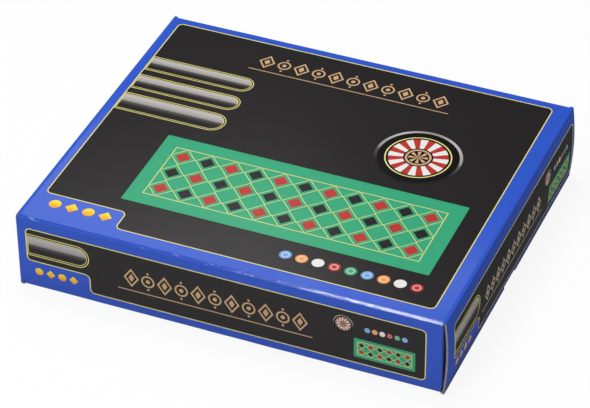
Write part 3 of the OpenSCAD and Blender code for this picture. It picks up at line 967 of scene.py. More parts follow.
@dataclass
class FaceLayout:
    """The places of a face's print, measured on the photograph; the motifs are plain ornament."""

    left: float
    right: float
    foot: float
    head: float
    notch: Point
    pills: tuple[tuple[float, float, float, float], ...]
    frieze: tuple[float, float, float, float]
    rule: tuple[float, float, float]
    field: tuple[float, float, float, float]
    medallion: tuple[float, float, float]
    discs: tuple[float, float, float, float, int]
    lattice: Point
    lamps: tuple[float, float, float, int]
    line: float = 0.8
    corner_r: float = 4.5

    def draw(self, sheet: PrintSheet) -> None:
        """Draws the whole face.

        Args:
            sheet: The sheet to draw on.
        """
        self._panel(sheet)
        for pill in self.pills:
            self._pill(sheet, *pill)
        self._frieze(sheet)
        self._field(sheet)
        self._medallion(sheet)
        self._discs(sheet)
        self._lamps(sheet)

    def _panel(self, sheet: PrintSheet) -> None:
        """Black panel with a notch for the row of discs, inside a cream line."""
        nx, ny = self.notch
        outline = [
            (nx, self.foot), (self.right, self.foot), (self.right, self.head),
            (self.left, self.head), (self.left, ny), (nx, ny),
        ]
        sheet.shape(outline, Ink.BLACK, 1, self.corner_r)
        sheet.shape(outline, Ink.CREAM, 2, self.corner_r, line=self.line)

    def _pill(self, sheet: PrintSheet, x0: float, y0: float, x1: float, y1: float) -> None:
        """A bar with a round right end: a gloss gradient inside a double cream line."""
        # A corner's radius stays just under half the height, and the inner line stands a gap within
        radius = (y1 - y0) / 2 * 0.98
        gap = 1.7
        box = rectangle(x0, y0, x1, y1)
        sheet.shape(box, Ink.CREAM, 3, radius, (1, 2), line=self.line * 0.8)
        inner = rectangle(x0 + 1.0, y0 + gap, x1 - gap, y1 - gap)
        sheet.shape(inner, Ink.PILL, 2, radius - gap, (1, 2))
        sheet.shape(inner, Ink.CREAM, 3, radius - gap, (1, 2), line=self.line * 0.6)

    def _frieze(self, sheet: PrintSheet) -> None:
        """A band of lozenges, rings and dots over a plain rule."""
        x0, y0, x1, y1 = self.frieze
        units = 11
        pitch = (x1 - x0) / units
        mid, half = (y0 + y1) / 2, (y1 - y0) / 2
        for i in range(units):
            centre = (x0 + pitch * (i + 0.5), mid)
            if i % 2 == 0:
                sheet.lozenge(centre, pitch * 0.46, half, Ink.GOLD, 2, line=half * 0.15)
                sheet.lozenge(centre, pitch * 0.17, half * 0.42, Ink.GOLD, 2)
            else:
                sheet.disc(centre, half * 0.62, Ink.GOLD, 2, line=half * 0.15)
                sheet.disc(centre, half * 0.2, Ink.GOLD, 2, sides=16)
                for side in (-1, 1):
                    sheet.lozenge(
                        (centre[0], mid + side * half * 0.86), half * 0.14, half * 0.14, Ink.GOLD, 2
                    )
        rule_x0, rule_y, rule_x1 = self.rule
        sheet.bar(rule_x0, rule_y - self.line / 2, rule_x1, rule_y + self.line / 2, Ink.GOLD, 2)

    def _field(self, sheet: PrintSheet) -> None:
        """A green field with a lattice of red and black lozenges inside gold lines."""
        x0, y0, x1, y1 = self.field
        fine = self.line * 0.75 if x1 - x0 > 100 else self.line * 0.5
        box = rectangle(x0, y0, x1, y1)
        sheet.shape(box, Ink.GREEN, 2, 2 * fine)
        columns, rows = self.lattice
        inset = (y1 - y0) * 0.14
        a0, b0, a1, b1 = x0 + inset, y0 + inset, x1 - inset, y1 - inset
        sheet.shape(rectangle(a0, b0, a1, b1), Ink.CREAM, 3, line=fine)
        step_x, step_y = (a1 - a0) / columns, (b1 - b0) / rows
        for i in range(int(columns)):
            for k in range(int(rows)):
                centre = (a0 + step_x * (i + 0.5), b0 + step_y * (k + 0.5))
                ink = Ink.RED if (i + k) % 2 == 0 else Ink.BLACK
                sheet.lozenge(centre, step_x * 0.5, step_y * 0.5, Ink.CREAM, 3, line=fine * 0.8)
                sheet.lozenge(centre, step_x * 0.31, step_y * 0.31, ink, 3)

    def _medallion(self, sheet: PrintSheet) -> None:
        """A rosette of red and cream wedges in a dark ring."""
        x, y, r = self.medallion
        sheet.disc((x, y), r, Ink.JET, 2, sides=64)
        sheet.disc((x, y), r, Ink.PILL, 3, line=r * 0.07, sides=64)
        sheet.disc((x, y), r * 0.76, Ink.CREAM, 3, line=r * 0.03, sides=48)
        wedges = 24
        for i in range(wedges):
            a0, a1 = 360 * i / wedges, 360 * (i + 1) / wedges
            ring = arc((x, y), r * 0.68, a0, a1, 3) + arc((x, y), r * 0.34, a1, a0, 3)
            sheet.shape(ring, Ink.RED if i % 2 else Ink.WHITE, 3)
        sheet.disc((x, y), r * 0.3, Ink.GOLD, 3, line=r * 0.05)
        for i in range(8):
            a0, a1 = 45 * i, 45 * i + 22.5
            sheet.shape([(x, y)] + arc((x, y), r * 0.22, a0, a1, 2), Ink.GOLD, 3)

    def _discs(self, sheet: PrintSheet) -> None:
        """A neat row of plain coloured discs."""
        x, y, r, pitch, count = self.discs
        palette = [Ink.BLUE, Ink.ORANGE, Ink.WHITE, Ink.RED, Ink.GREEN]
        for i in range(count):
            centre = (x + i * pitch, y)
            sheet.disc(centre, r, palette[i % len(palette)], 3, sides=24)
            sheet.disc(centre, r * 0.62, Ink.WHITE, 4, line=r * 0.12, sides=24)

    def _lamps(self, sheet: PrintSheet) -> None:
        """Yellow discs and lozenges in the blue notch."""
        x, y, r, count = self.lamps
        for i in range(count):
            centre = (x + i * r * 2.9, y)
            if i % 2:
                sheet.lozenge(centre, r * 1.15, r * 1.15, Ink.SUNNY, 1)
            else:
                sheet.disc(centre, r, Ink.SUNNY, 1, sides=24)


# the carton


@dataclass
class Carton:
    """The carton's board: tube, bottom with thumb notches, and the two hinged ends."""

    length: float = 330.0
    width: float = 277.0
    height: float = 63.9
    board: float = 1.6
    fold_r: float = 2.2
    skin: float = 0.12
    sleeve_x: float = 162.1
    lip_x: float = 164.8
    notch_r: float = 12.0
    hinge: Point = (164.2, 63.1)
    tuck_z: float = 2.7
    right_bow: float = 2.0
    left_bow: float = 0.3
    lip_t: float = 0.14
    press: float = 0.55
    front_press: float = 0.86
    press_rate: float = 0.045
    closure_w: float = 275.8
    tongue_w: float = 269.4
    tongue_l: float = 14.0
    tongue_slope: float = 13.0
    tongue_corner_r: float = 10.0
    crease_gap: float = 0.1
    flap_y: float = 137.7
    flap_foot: float = 5.1
    flap_head: float = 61.5
    flap_l: float = 46.0
    flap_taper: float = 0.5
    flap_foot_taper: float = 0.1
    blue: Material = field(init=False)
    fold: Material = field(init=False)
    liner: Material = field(init=False)
    raw: Material = field(init=False)
    end_blue: Material = field(init=False)
    inks: list[Material] = field(init=False)
    end_inks: list[Material] = field(init=False)

    def __post_init__(self) -> None:
        """Builds the finishes that all panels share."""
        blue = LaminatedInk("ink_royal_blue", "#2f56c6")
        self.blue = blue.build()
        self.end_blue = dulled(blue).build()
        # The folds' ink has a full glossy film and pale scuffs, which also serve as painted highlight on
        # the folds
        self.fold = replace(
            blue, name="burnished_blue_fold_painted_highlight", film=1.0, film_roughness=0.13, burnished=True
        ).build()
        self.liner = PlainLiner("grey_liner", "#a9a39a", "#9f998f").build()
        self.raw = RawBoard("raw_board_edge").build()
        self.inks = [INKS[ink].build() for ink in Ink]
        self.end_inks = [dulled(INKS[ink]).build() for ink in Ink]

    @property
    def half(self) -> float:
        """Half the board's thickness."""
        return self.board / 2

    def bow_radius(self, side: int) -> float:
        """Radius of a closure's middle surface; the left one lies nearly flat, as the photo shows."""
        drop, bow = self.hinge[1] - self.tuck_z, self.right_bow if side > 0 else self.left_bow
        return (drop * drop / 4 + bow * bow) / (2 * bow)

    def bow_centre(self, side: int) -> Point:
        """Centre of a closure's bulge in the XZ plane, drawn for the right end."""
        bow = self.right_bow if side > 0 else self.left_bow
        return (self.hinge[0] + bow - self.bow_radius(side), (self.hinge[1] + self.tuck_z) / 2)

    def board_faces(self, bm: Mesh, printed: Predicate, plain: Predicate) -> None:
        """Sorts a board's faces into print, inner liner and raw edge.

        Args:
            bm: The board.
            printed: True for a face centre and normal on the printed side.
            plain: True for one on the inner side.
        """
        for face in bm.faces:
            spot, normal = face.calc_center_median(), face.normal
            if printed(spot, normal):
                face.material_index = 0
            elif plain(spot, normal):
                face.material_index = 1
            else:
                face.material_index = 2

    def materials(self, end: bool = True) -> list[Material]:
        """Print, liner and raw edge, in the order of board_faces, then the burnished fold."""
        return [self.end_blue if end else self.blue, self.liner, self.raw, self.fold]

    # tube

    def build_sleeve(self) -> None:
        """Builds the tube with crushed folds, the crease beads and the notched bottom."""
        bm = bmesh.new()
        half_y, high, low = self.width / 2 - self.skin, self.height - self.skin, self.skin
        corners = rectangle(-half_y, low, half_y, high)
        bm.faces.new([bm.verts.new((-self.sleeve_x, y, z)) for y, z in corners])
        round_corners(bm, bm.verts[:], self.fold_r - self.skin, 10)
        ring = bmesh.ops.inset_region(
            bm, faces=bm.faces[:], thickness=self.board - self.skin, use_even_offset=True, use_boundary=True
        )["faces"]
        bmesh.ops.delete(bm, geom=[f for f in bm.faces if f not in ring], context="FACES")
        fold_y = self.width / 2 - self.fold_r
        floor = [f for f in bm.faces if f.calc_center_median().z < self.board and f.calc_area() > 100]
        bmesh.ops.delete(bm, geom=floor, context="FACES")
        thicken(bm, Vector((2 * self.sleeve_x, 0, 0)))
        steps = 90
        pitch = 2 * self.sleeve_x / steps
        cut_across(bm, Vector((1, 0, 0)), [-self.sleeve_x + pitch * i for i in range(1, steps)])
        self._crush_folds(bm)
        mid = self.height / 2

        def outside(spot: Vector, normal: Vector) -> bool:
            """Whether a face looks away from the tube's axis."""
            if abs(normal.x) > 0.9:
                return False
            return (spot.y * normal.y + (spot.z - mid) * normal.z) > 0

        self.board_faces(bm, outside, lambda spot, normal: abs(normal.x) < 0.9)
        for face in bm.faces:
            if face.material_index == 0 and min(abs(face.normal.y), abs(face.normal.z)) > 0.04:
                face.material_index = 3
        append_mesh(bm, self._bottom_plate(fold_y))
        for face in (-1, 1):
            append_mesh(bm, self._wrap_lip(face))
        for side in (-1, 1):
            for face in (-1, 1):
                append_mesh(bm, self._flap_bead(side, face))
        finish_piece(
            "carton_tube_board", bm, self.materials(end=False), "carton", ["carton_sleeve"]
        )
        LOG.info("built the tube")

    def _crush_folds(self, bm: Mesh) -> None:
        """Presses the long folds in by a few tenths of a millimetre, unevenly along their length."""
        core_y, mid = self.width / 2 - self.fold_r, self.height / 2
        core_z = mid - self.fold_r
        for vert in bm.verts:
            y, z = vert.co.y, vert.co.z - mid
            over_y, over_z = abs(y) - core_y, abs(z) - core_z
            if over_y < 0.02 or over_z < 0.02:
                continue
            reach = math.hypot(over_y, over_z)
            turn = math.degrees(math.atan2(over_z, over_y))
            chord = 1 - math.cos(math.radians(45)) / math.cos(math.radians(turn - 45))
            ease = min(1.0, min(turn, 90 - turn) / 24)
            # The front top fold is the one that hands press most
            front_top = y < 0 < z
            where = vert.co.x * self.press_rate + (7 if y > 0 else 0) + (13 if z > 0 else 0)
            press = self.front_press if front_top else self.press
            press += 0.3 * noise.noise(Vector((where, 0.3, 0.0)))
            press += 0.14 * noise.noise(Vector((where * 6.0, 4.1, 0.0)))
            depth = reach * chord * ease * max(0.0, min(1.05, press))
            vert.co.y -= math.copysign(depth * over_y / reach, y)
            vert.co.z -= math.copysign(depth * over_z / reach, z)

    def _wrap_lip(self, face: int) -> Mesh:
        """Printed wrap that runs on past the fold at the left end, flush with the closure.

        Args:
            face: -1 for the front panel, 1 for the back.

        Returns:
            The strip's mesh.
        """
        core_y, radius = self.width / 2 - self.fold_r, self.fold_r - self.skin
        outer = arc((core_y, self.fold_r), radius, -25, 0, 3)
        outer += arc((core_y, self.height - self.fold_r), radius, 0, 25, 3)
        inner = arc((core_y, self.fold_r), radius - self.lip_t, -25, 0, 3)
        inner += arc((core_y, self.height - self.fold_r), radius - self.lip_t, 0, 25, 3)
        section = outer + list(reversed(inner))
        run = self.length / 2 - self.sleeve_x + 0.4
        bm = slab([(-self.length / 2 + 0.06, face * y, z) for y, z in section], (run, 0, 0))
        self.board_faces(bm, lambda p, n: n.y * face > 0.5, lambda p, n: n.y * face < -0.5)
        return bm

    def _bottom_plate(self, fold_y: float) -> Mesh:
        """Bottom panel with a half-moon thumb notch at each end.

        Args:
            fold_y: Where the panel meets the long folds.

        Returns:
            The panel's mesh.
        """
        lip, sleeve, edge = self.lip_x, self.sleeve_x, self.closure_w / 2
        right = [(sleeve, -fold_y), (sleeve, -edge), (lip, -edge)]
        right += arc((lip, 0), self.notch_r, -90, -270, 24)
        right += [(lip, edge), (sleeve, edge), (sleeve, fold_y)]
        left = [(-x, -y) for x, y in right]
        bm = slab([(x, y, self.skin) for x, y in right + left], (0, 0, self.board - self.skin))
        self.board_faces(bm, lambda p, n: n.z < -0.9, lambda p, n: n.z > 0.9)
        return bm

    def _flap_bead(self, side: int, face: int) -> Mesh:
        """Round fold at the front or back panel's end, which the dust flap turns on.

        Args:
            side: 1 for the right end, -1 for the left.
            face: -1 for the front, 1 for the back.

        Returns:
            The bead's mesh.
        """
        r = self.half - self.skin / 2
        section = arc((0, 0), r, -100, 100, 14) + [(-0.6, r * 0.9), (-0.6, -r * 0.9)]
        bm = slab([(x, y, self.flap_foot) for x, y in section], (0, 0, self.flap_head - self.flap_foot))
        for vert in bm.verts:
            vert.co.x = side * (self.sleeve_x + vert.co.x)
            vert.co.y = face * (self.flap_y + vert.co.y)
        bmesh.ops.recalc_face_normals(bm, faces=bm.faces[:])
        self.board_faces(bm, lambda p, n: abs(n.z) < 0.9, lambda p, n: False)
        return bm

    # ends

    def build_end(self, side: int) -> None:
        """Builds one end: closure, tongue and dust flaps.

        Args:
            side: 1 for the right end, -1 for the left.
        """
        name = "right" if side > 0 else "left"
        self._closure(side, name)
        self._tongue(side, name)
        for face, word in ((-1, "front"), (1, "back")):
            self._dust_flap(side, face, f"{name}_{word}")
        LOG.info("built the %s end", name)

    def bow_cuts(self) -> tuple[float, ...]:
        """Heights at which the closure's curve is broken into flat strips."""
        return tuple(
            (self.tuck_z + 4.0 * i for i in range(1, 16) if self.tuck_z + 4.0 * i < self.hinge[1] - 1)
        )

    def _closure_line(self, depth: float, side: int) -> list[Point]:
        """One surface of the closure in the XZ plane, from the top panel's end down to the tuck fold.

        Args:
            depth: Height over the board's middle surface, outwards.
            side: 1 for the right end, -1 for the left.

        Returns:
            The line's points.
        """
        hx, hz = self.hinge
        cx, cz = self.bow_centre(side)
        radius = self.bow_radius(side) + depth
        line = [(self.sleeve_x, hz + depth)]
        if depth > 0.05:
            line += arc(self.hinge, depth, 90, 4, 8)
        else:
            line += [(hx + depth, hz + depth)]
        heights = [z for z in reversed(self.bow_cuts())]
        line += [(cx + math.sqrt(radius * radius - (z - cz) ** 2), z) for z in heights]
        tuck = (hx, self.tuck_z)
        if depth > 0.05:
            line += arc(tuck, depth, -4, -100, 8)
        else:
            line += [(hx + depth, self.tuck_z + 0.3)]
        return line

    def _depth_of(self, spot: Vector, side: int) -> float:
        """Height of a place in the closure over the board's middle surface, outwards.

        Args:
            spot: The place.
            side: 1 for the right end, -1 for the left.

        Returns:
            The height in millimetres.
        """
        over_x, over_z = spot.x - self.hinge[0], spot.z - self.hinge[1]
        if over_z > 0:
            return math.hypot(max(0.0, over_x), over_z)
        if over_x < -self.half - 0.1:
            return over_z
        cx, cz = self.bow_centre(side)
        return math.hypot(spot.x - cx, spot.z - cz) - self.bow_radius(side)

    def _closure(self, side: int, name: str) -> None:
        """End panel of two liners and a set-back core, which bends at the top fold.

        Args:
            side: 1 for the right end, -1 for the left.
            name: The end's name.
        """
        outer, inner = self.half - self.skin, -self.half
        # The outer liner, the core between, which is cut back all round, and the inner liner
        bands = ((outer, 0.42, 0.0), (0.44, -0.5, 0.3), (-0.48, inner, 0.0))
        whole = bmesh.new()
        for high, low, set_back in bands:
            outline = self._closure_line(high, side) + list(reversed(self._closure_line(low, side)))
            half_w = self.closure_w / 2 - set_back
            bm = slab([(x, -half_w, z) for x, z in outline], (0, 2 * half_w, 0))
            front = high == outer
            back = low == inner

            self.board_faces(
                bm,
                lambda p, n: front and abs(n.y) < 0.5
                and (self._depth_of(p, side) > 0.45 or p.z < self.tuck_z),
                lambda p, n: back and abs(n.y) < 0.5 and self._depth_of(p, side) < -0.6,
            )
            append_mesh(whole, bm)
        if side < 0:
            mirror(whole, (-1, 1, 1))
        piece = finish_piece(
            f"{name}_closure_board", whole, self.materials(), "carton",
            [f"{name}_closure_panel"],
        )
        piece.parent = None
        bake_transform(piece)

    def _tongue(self, side: int, name: str) -> None:
        """Tuck tongue: a board tab with round corners that slopes up into the carton.

        Args:
            side: 1 for the right end, -1 for the left.
            name: The end's name.
        """
        bm = bmesh.new()
        start, half_w = self.half + self.crease_gap, self.tongue_w / 2
        corners = [(-start, -half_w), (-start, half_w), (-self.tongue_l, half_w), (-self.tongue_l, -half_w)]
        verts = [bm.verts.new((x, y, -self.half)) for x, y in corners]
        bm.faces.new(verts)
        round_corners(bm, verts[2:], self.tongue_corner_r, 8)
        thicken(bm, Vector((0, 0, self.board)))
        self.board_faces(bm, lambda p, n: n.z < -0.9, lambda p, n: n.z > 0.9)
        bmesh.ops.rotate(
            bm, verts=bm.verts, cent=(0, 0, 0),
            matrix=Matrix.Rotation(math.radians(self.tongue_slope), 3, "Y"),
        )
        bmesh.ops.translate(bm, verts=bm.verts, vec=(self.hinge[0], 0, self.tuck_z))
        if side < 0:
            mirror(bm, (-1, 1, 1))
        finish_piece(
            f"{name}_tongue_board", bm, self.materials(), f"{name}_tongue",
            [f"{name}_tuck_tongue"],
        )

    def _dust_flap(self, side: int, face: int, name: str) -> None:
        """Dust flap: a tapered tab of printed board behind the closure.

        Args:
            side: 1 for the right end, -1 for the left.
            face: -1 for the front, 1 for the back.
            name: The flap's name.
        """
        start, high = self.half + self.crease_gap, self.flap_head - self.flap_foot
        tip_high, tip_low = high - self.flap_taper * self.flap_l, self.flap_foot_taper * self.flap_l
        low_start = start * self.flap_foot_taper
        outline = [
            (start, low_start), (self.flap_l, tip_low), (self.flap_l, tip_high),
            (start, high - start * self.flap_taper),
        ]
        bm = bmesh.new()
        verts = [bm.verts.new((-self.half, u, v)) for u, v in outline]
        bm.faces.new(verts)
        round_corners(bm, verts[1:3], 4.0, 5)
        thicken(bm, Vector((self.board, 0, 0)))
        self.board_faces(bm, lambda p, n: n.x > 0.9, lambda p, n: n.x < -0.9)
        bmesh.ops.translate(bm, verts=bm.verts, vec=(self.sleeve_x, -self.flap_y, self.flap_foot))
        if face > 0:
            mirror(bm, (1, -1, 1))
        if side < 0:
            mirror(bm, (-1, 1, 1))
        finish_piece(
            f"{name}_flap_board", bm, self.materials(), f"{name}_flap",
            [f"{name}_dust_flap"],
        )

    # print

    def print_faces(self) -> None:
        """Prints the six faces."""
        half_x, half_y = self.length / 2, self.width / 2
        skin = self.skin
        top = Face(
            Vector((-half_x, -half_y, self.height - skin)), Vector((1, 0, 0)), Vector((0, 1, 0)),
            self.length, self.width,
        )
        front = Face(
            Vector((-half_x, -half_y + skin, 0)), Vector((1, 0, 0)), Vector((0, 0, 1)), self.length,
            self.height,
        )
        back = Face(
            Vector((half_x, half_y - skin, 0)), Vector((-1, 0, 0)), Vector((0, 0, 1)), self.length,
            self.height,
        )
        bottom = Face(
            Vector((-half_x, half_y, skin)), Vector((1, 0, 0)), Vector((0, -1, 0)), self.length,
            self.width,
        )
        ends = {}
        for side in (1, -1):
            cx, cz = self.bow_centre(side)
            ends[side] = Face(
                Vector((side * cx, -side * half_y, 0)), Vector((0, side, 0)), Vector((0, 0, 1)), self.width,
                self.height, self.bow_radius(side) + self.half - skin, cz, self.bow_cuts(),
            )
        for name, face, layout, body in (
            ("top_print", top, TOP_LAYOUT, "carton"),
            ("front_print", front, SIDE_LAYOUT, "carton"),
            ("back_print", back, SIDE_LAYOUT, "carton"),
            ("right_print", ends[1], END_LAYOUT, "right_closure"),
            ("left_print", ends[-1], END_LAYOUT, "left_closure"),
            ("bottom_print", bottom, BOTTOM_LAYOUT, "carton"),
        ):
            sheet = PrintSheet(name, face)
            layout.draw(sheet)
            sheet.finish(self.inks if body == "carton" else self.end_inks, body)


TOP_LAYOUT = FaceLayout(
    left=8.0, right=317.0, foot=12.0, head=268.6, notch=(72.9, 32.0),
    pills=((8.4, 201.0, 95.6, 219.7), (8.4, 175.2, 95.6, 194.0), (8.4, 146.3, 95.6, 168.6)),
    frieze=(85.6, 236.6, 242.0, 253.6), rule=(82.2, 232.8, 245.3),
    field=(62.0, 46.0, 300.0, 130.0), medallion=(244.0, 173.0, 33.0),
    discs=(198.0, 30.0, 4.6, 12.4, 9), lattice=(11, 3), lamps=(21.0, 22.0, 4.6, 4),
)
BOTTOM_LAYOUT = FaceLayout(
    left=24.0, right=306.0, foot=14.0, head=263.0, notch=(88.0, 34.0),
    pills=(), frieze=(90.0, 226.0, 240.0, 242.0), rule=(86.0, 222.0, 244.0),
    field=(60.0, 66.0, 270.0, 140.0), medallion=(165.0, 181.0, 27.0),
    discs=(115.4, 40.0, 4.6, 12.4, 9), lattice=(11, 3), lamps=(36.0, 24.0, 4.6, 4),
)
SIDE_LAYOUT = FaceLayout(
    left=6.7, right=316.0, foot=8.3, head=53.9, notch=(56.7, 24.3),
    pills=((7.1, 29.5, 57.3, 48.8),),
    frieze=(84.0, 24.2, 227.8, 41.0), rule=(79.6, 21.0, 230.7),
    field=(262.0, 14.0, 308.0, 31.0), medallion=(254.0, 41.0, 7.6),
    discs=(272.0, 40.5, 2.2, 5.6, 6), lattice=(6, 2), lamps=(16.0, 15.8, 3.2, 4),
    corner_r=4.0,
)
END_LAYOUT = FaceLayout(
    left=13.8, right=272.9, foot=7.2, head=52.9, notch=(66.7, 21.2),
    pills=((14.2, 25.0, 66.2, 46.1),),
    frieze=(76.7, 23.9, 198.9, 38.4), rule=(72.2, 20.6, 202.0),
    field=(218.0, 12.5, 266.0, 30.0), medallion=(214.0, 40.5, 7.2),
    discs=(230.0, 39.5, 2.2, 5.6, 6), lattice=(6, 2), lamps=(22.0, 14.2, 3.0, 4),
    corner_r=4.0,
)


# folded sheets


class MatInk(Enum):
    """The inks of the mat, the leaflet and the number band, in the order of their material slots."""

    LINE = 0
    RED = 1
    BLACK = 2
    PALE = 3


@dataclass
class FoldedSheet:
    """A sheet folded once over its middle, its print outwards and the bend at the right.

    On the flat sheet x runs from the upper layer's free edge to the lower layer's, y runs to the
    back and z is the height over the printed side.
    """

    length: float
    width: float
    thick: float
    air: float
    foot: float
    corner_r: float
    cell: float = 8.0

    @property
    def stack(self) -> float:
        """Height of the folded sheet."""
        return 2 * self.thick + self.air

    @property
    def run(self) -> float:
        """Length of one layer up to the bend."""
        return self.length / 2 - self.stack / 2

    def lift(self, x: float, y: float) -> float:
        """How far the upper layer stands up at a place; a flat sheet doesn't."""
        return 0.0

    def rest(self, x: float, y: float) -> float:
        """How far what lies under the sheet lifts it; a flat bed doesn't."""
        return 0.0

    def folded(self, flat: Vector) -> Vector:
        """Where a point of the flat sheet lies once it is folded.

        Args:
            flat: The point on the flat sheet.

        Returns:
            The point in the carton.
        """
        along, y, rise = flat
        left = -self.length / 4
        radius = self.stack / 2
        if along <= self.run:
            x = left + along
            return Vector((x, y, self.foot + self.stack + rise + self.rest(x, y) + self.lift(x, y)))
        if along >= self.length - self.run:
            x = left + self.length - along
            return Vector((x, y, self.foot - rise + self.rest(x, y)))
        turn = math.pi / 2 - (along - self.run) / (self.length - 2 * self.run) * math.pi
        x = left + self.run
        return Vector((
            x + (radius + rise) * math.cos(turn),
            y,
            self.foot + radius + (radius + rise) * math.sin(turn) + self.rest(x, y),
        ))

    def place(self, bm: Mesh) -> None:
        """Cuts a flat mesh so that it can bend, and folds it.

        Args:
            bm: A mesh on the flat sheet.
        """
        along = [self.cell * i for i in range(1, int(self.length / self.cell) + 1)]
        bend = self.length - 2 * self.run
        along += [self.run + bend * i / 10 for i in range(11)]
        cut_across(bm, Vector((1, 0, 0)), sorted(along))
        half = int(self.width / 2 / self.cell) + 1
        cut_across(bm, Vector((0, 1, 0)), [self.cell * i for i in range(-half, half + 1)])
        for vert in bm.verts:
            vert.co = self.folded(vert.co)

    def blank(self) -> Mesh:
        """Returns the folded sheet as a closed mesh."""
        bm = bmesh.new()
        half = self.width / 2
        corners = rectangle(0, -half, self.length, half)
        bm.faces.new([bm.verts.new((x, y, -self.thick)) for x, y in corners])
        round_corners(bm, bm.verts[:], self.corner_r, 5)
        thicken(bm, Vector((0, 0, self.thick)))
        self.place(bm)
        bmesh.ops.recalc_face_normals(bm, faces=bm.faces[:])
        return bm


@dataclass
class PlayingMat(FoldedSheet):
    """Felt cloth with the usual betting grid: 36 numbers, zero, dozens and even chances."""

    length: float = 600.0
    width: float = 264.0
    thick: float = 1.2
    air: float = 0.3
    foot: float = 53.66
    corner_r: float = 4.0
    wave: float = 1.0
    wave_l: Point = (64.0, 52.0)
    wave_fade: float = 60.0
    grid_x: float = 96.0
    grid_y: float = -20.0
    cell_x: float = 34.0
    cell_y: float = 32.0
    row_h: float = 28.0
    line_w: float = 1.1
    reds: tuple[int, ...] = (1, 3, 5, 7, 9, 12, 14, 16, 18, 19, 21, 23, 25, 27, 30, 32, 34, 36)

    def lift(self, x: float, y: float) -> float:
        """Soft waves in the upper layer, which die out towards the bend."""
        free = max(0.0, min(1.0, (self.length / 4 - self.stack / 2 - x) / self.wave_fade))
        swell = 0.5 + 0.5 * noise.noise(Vector((x / self.wave_l[0], y / self.wave_l[1], 2.3)))
        return self.wave * swell * free * free * (3 - 2 * free)

    def build(self) -> None:
        """Builds the felt and its print."""
        # Fibres break up the light, so that cloth and print alike look soft and deep
        felt = Felt("green_felt", "#2c8a5a").build()
        mat = finish_piece("playing_mat_felt", self.blank(), [felt], "carton", ["layout_mat"])
        sheet = PrintSheet("playing_mat_print", self)
        self._frame(sheet)
        self._numbers(sheet)
        self._bets(sheet)
        inks = [Felt("felt_print_" + word, colour).build() for word, colour in (
            ("yellow", "#d8bc48"), ("red", "#b3302c"), ("black", "#1d1c1d"), ("cream", "#e8e0c8"),
        )]
        printed = sheet.finish(inks, "carton")
        LOG.info("folded the playing mat")

    def _box(self, sheet: PrintSheet, x0: float, y0: float, x1: float, y1: float) -> None:
        """Rules a printed box; neighbours share their lines."""
        half = self.line_w / 2
        points = rectangle(x0 - half, y0 - half, x1 + half, y1 + half)
        sheet.shape(points, MatInk.LINE, 1, line=self.line_w)

    def _frame(self, sheet: PrintSheet) -> None:
        """Two lines along the mat's edge."""
        half = self.width / 2
        for inset, line, radius in ((12.0, 1.6, 8.0), (17.0, 0.8, 6.0)):
            points = rectangle(inset, inset - half, self.length - inset, half - inset)
            sheet.shape(points, MatInk.LINE, 1, radius, line=line)

    def _numbers(self, sheet: PrintSheet) -> None:
        """Zero and the twelve columns of three numbers, with a bet box at each row's end."""
        top = self.grid_y + 3 * self.cell_y
        self._box(sheet, self.grid_x - self.cell_x, self.grid_y, self.grid_x, top)
        sheet.number("0", (self.grid_x - self.cell_x / 2, (self.grid_y + top) / 2), 15.0, MatInk.PALE, 2)
        for column in range(12):
            for row in range(3):
                x0, y0 = self.grid_x + column * self.cell_x, self.grid_y + row * self.cell_y
                centre = (x0 + self.cell_x / 2, y0 + self.cell_y / 2)
                value = column * 3 + row + 1
                self._box(sheet, x0, y0, x0 + self.cell_x, y0 + self.cell_y)
                sheet.disc(centre, 11.5, MatInk.RED if value in self.reds else MatInk.BLACK, 1)
                sheet.number(str(value), centre, 9.0, MatInk.PALE, 2)
        x0 = self.grid_x + 12 * self.cell_x
        for row in range(3):
            y0 = self.grid_y + row * self.cell_y
            self._box(sheet, x0, y0, x0 + self.cell_x, y0 + self.cell_y)
            sheet.disc((x0 + self.cell_x / 2, y0 + self.cell_y / 2), 6.0, MatInk.LINE, 1, line=1.2)

    def _bets(self, sheet: PrintSheet) -> None:
        """Dozens, marked by dots, and the even chances, two of them with a lozenge."""
        high = self.grid_y
        low = high - self.row_h
        for i in range(3):
            x0 = self.grid_x + i * 4 * self.cell_x
            self._box(sheet, x0, low, x0 + 4 * self.cell_x, high)
            for k in range(i + 1):
                x = x0 + 2 * self.cell_x + (k - i / 2) * 14
                sheet.disc((x, (low + high) / 2), 4.0, MatInk.LINE, 1, sides=20)
        for i in range(6):
            x0 = self.grid_x + i * 2 * self.cell_x
            self._box(sheet, x0, low - self.row_h, x0 + 2 * self.cell_x, low)
            centre = (x0 + self.cell_x, low - self.row_h / 2)
            if i in (2, 3):
                sheet.lozenge(centre, 24.0, 9.5, MatInk.RED if i == 2 else MatInk.BLACK, 1)
            else:
                sheet.lozenge(centre, 9.0, 6.0, MatInk.LINE, 1, line=1.0)


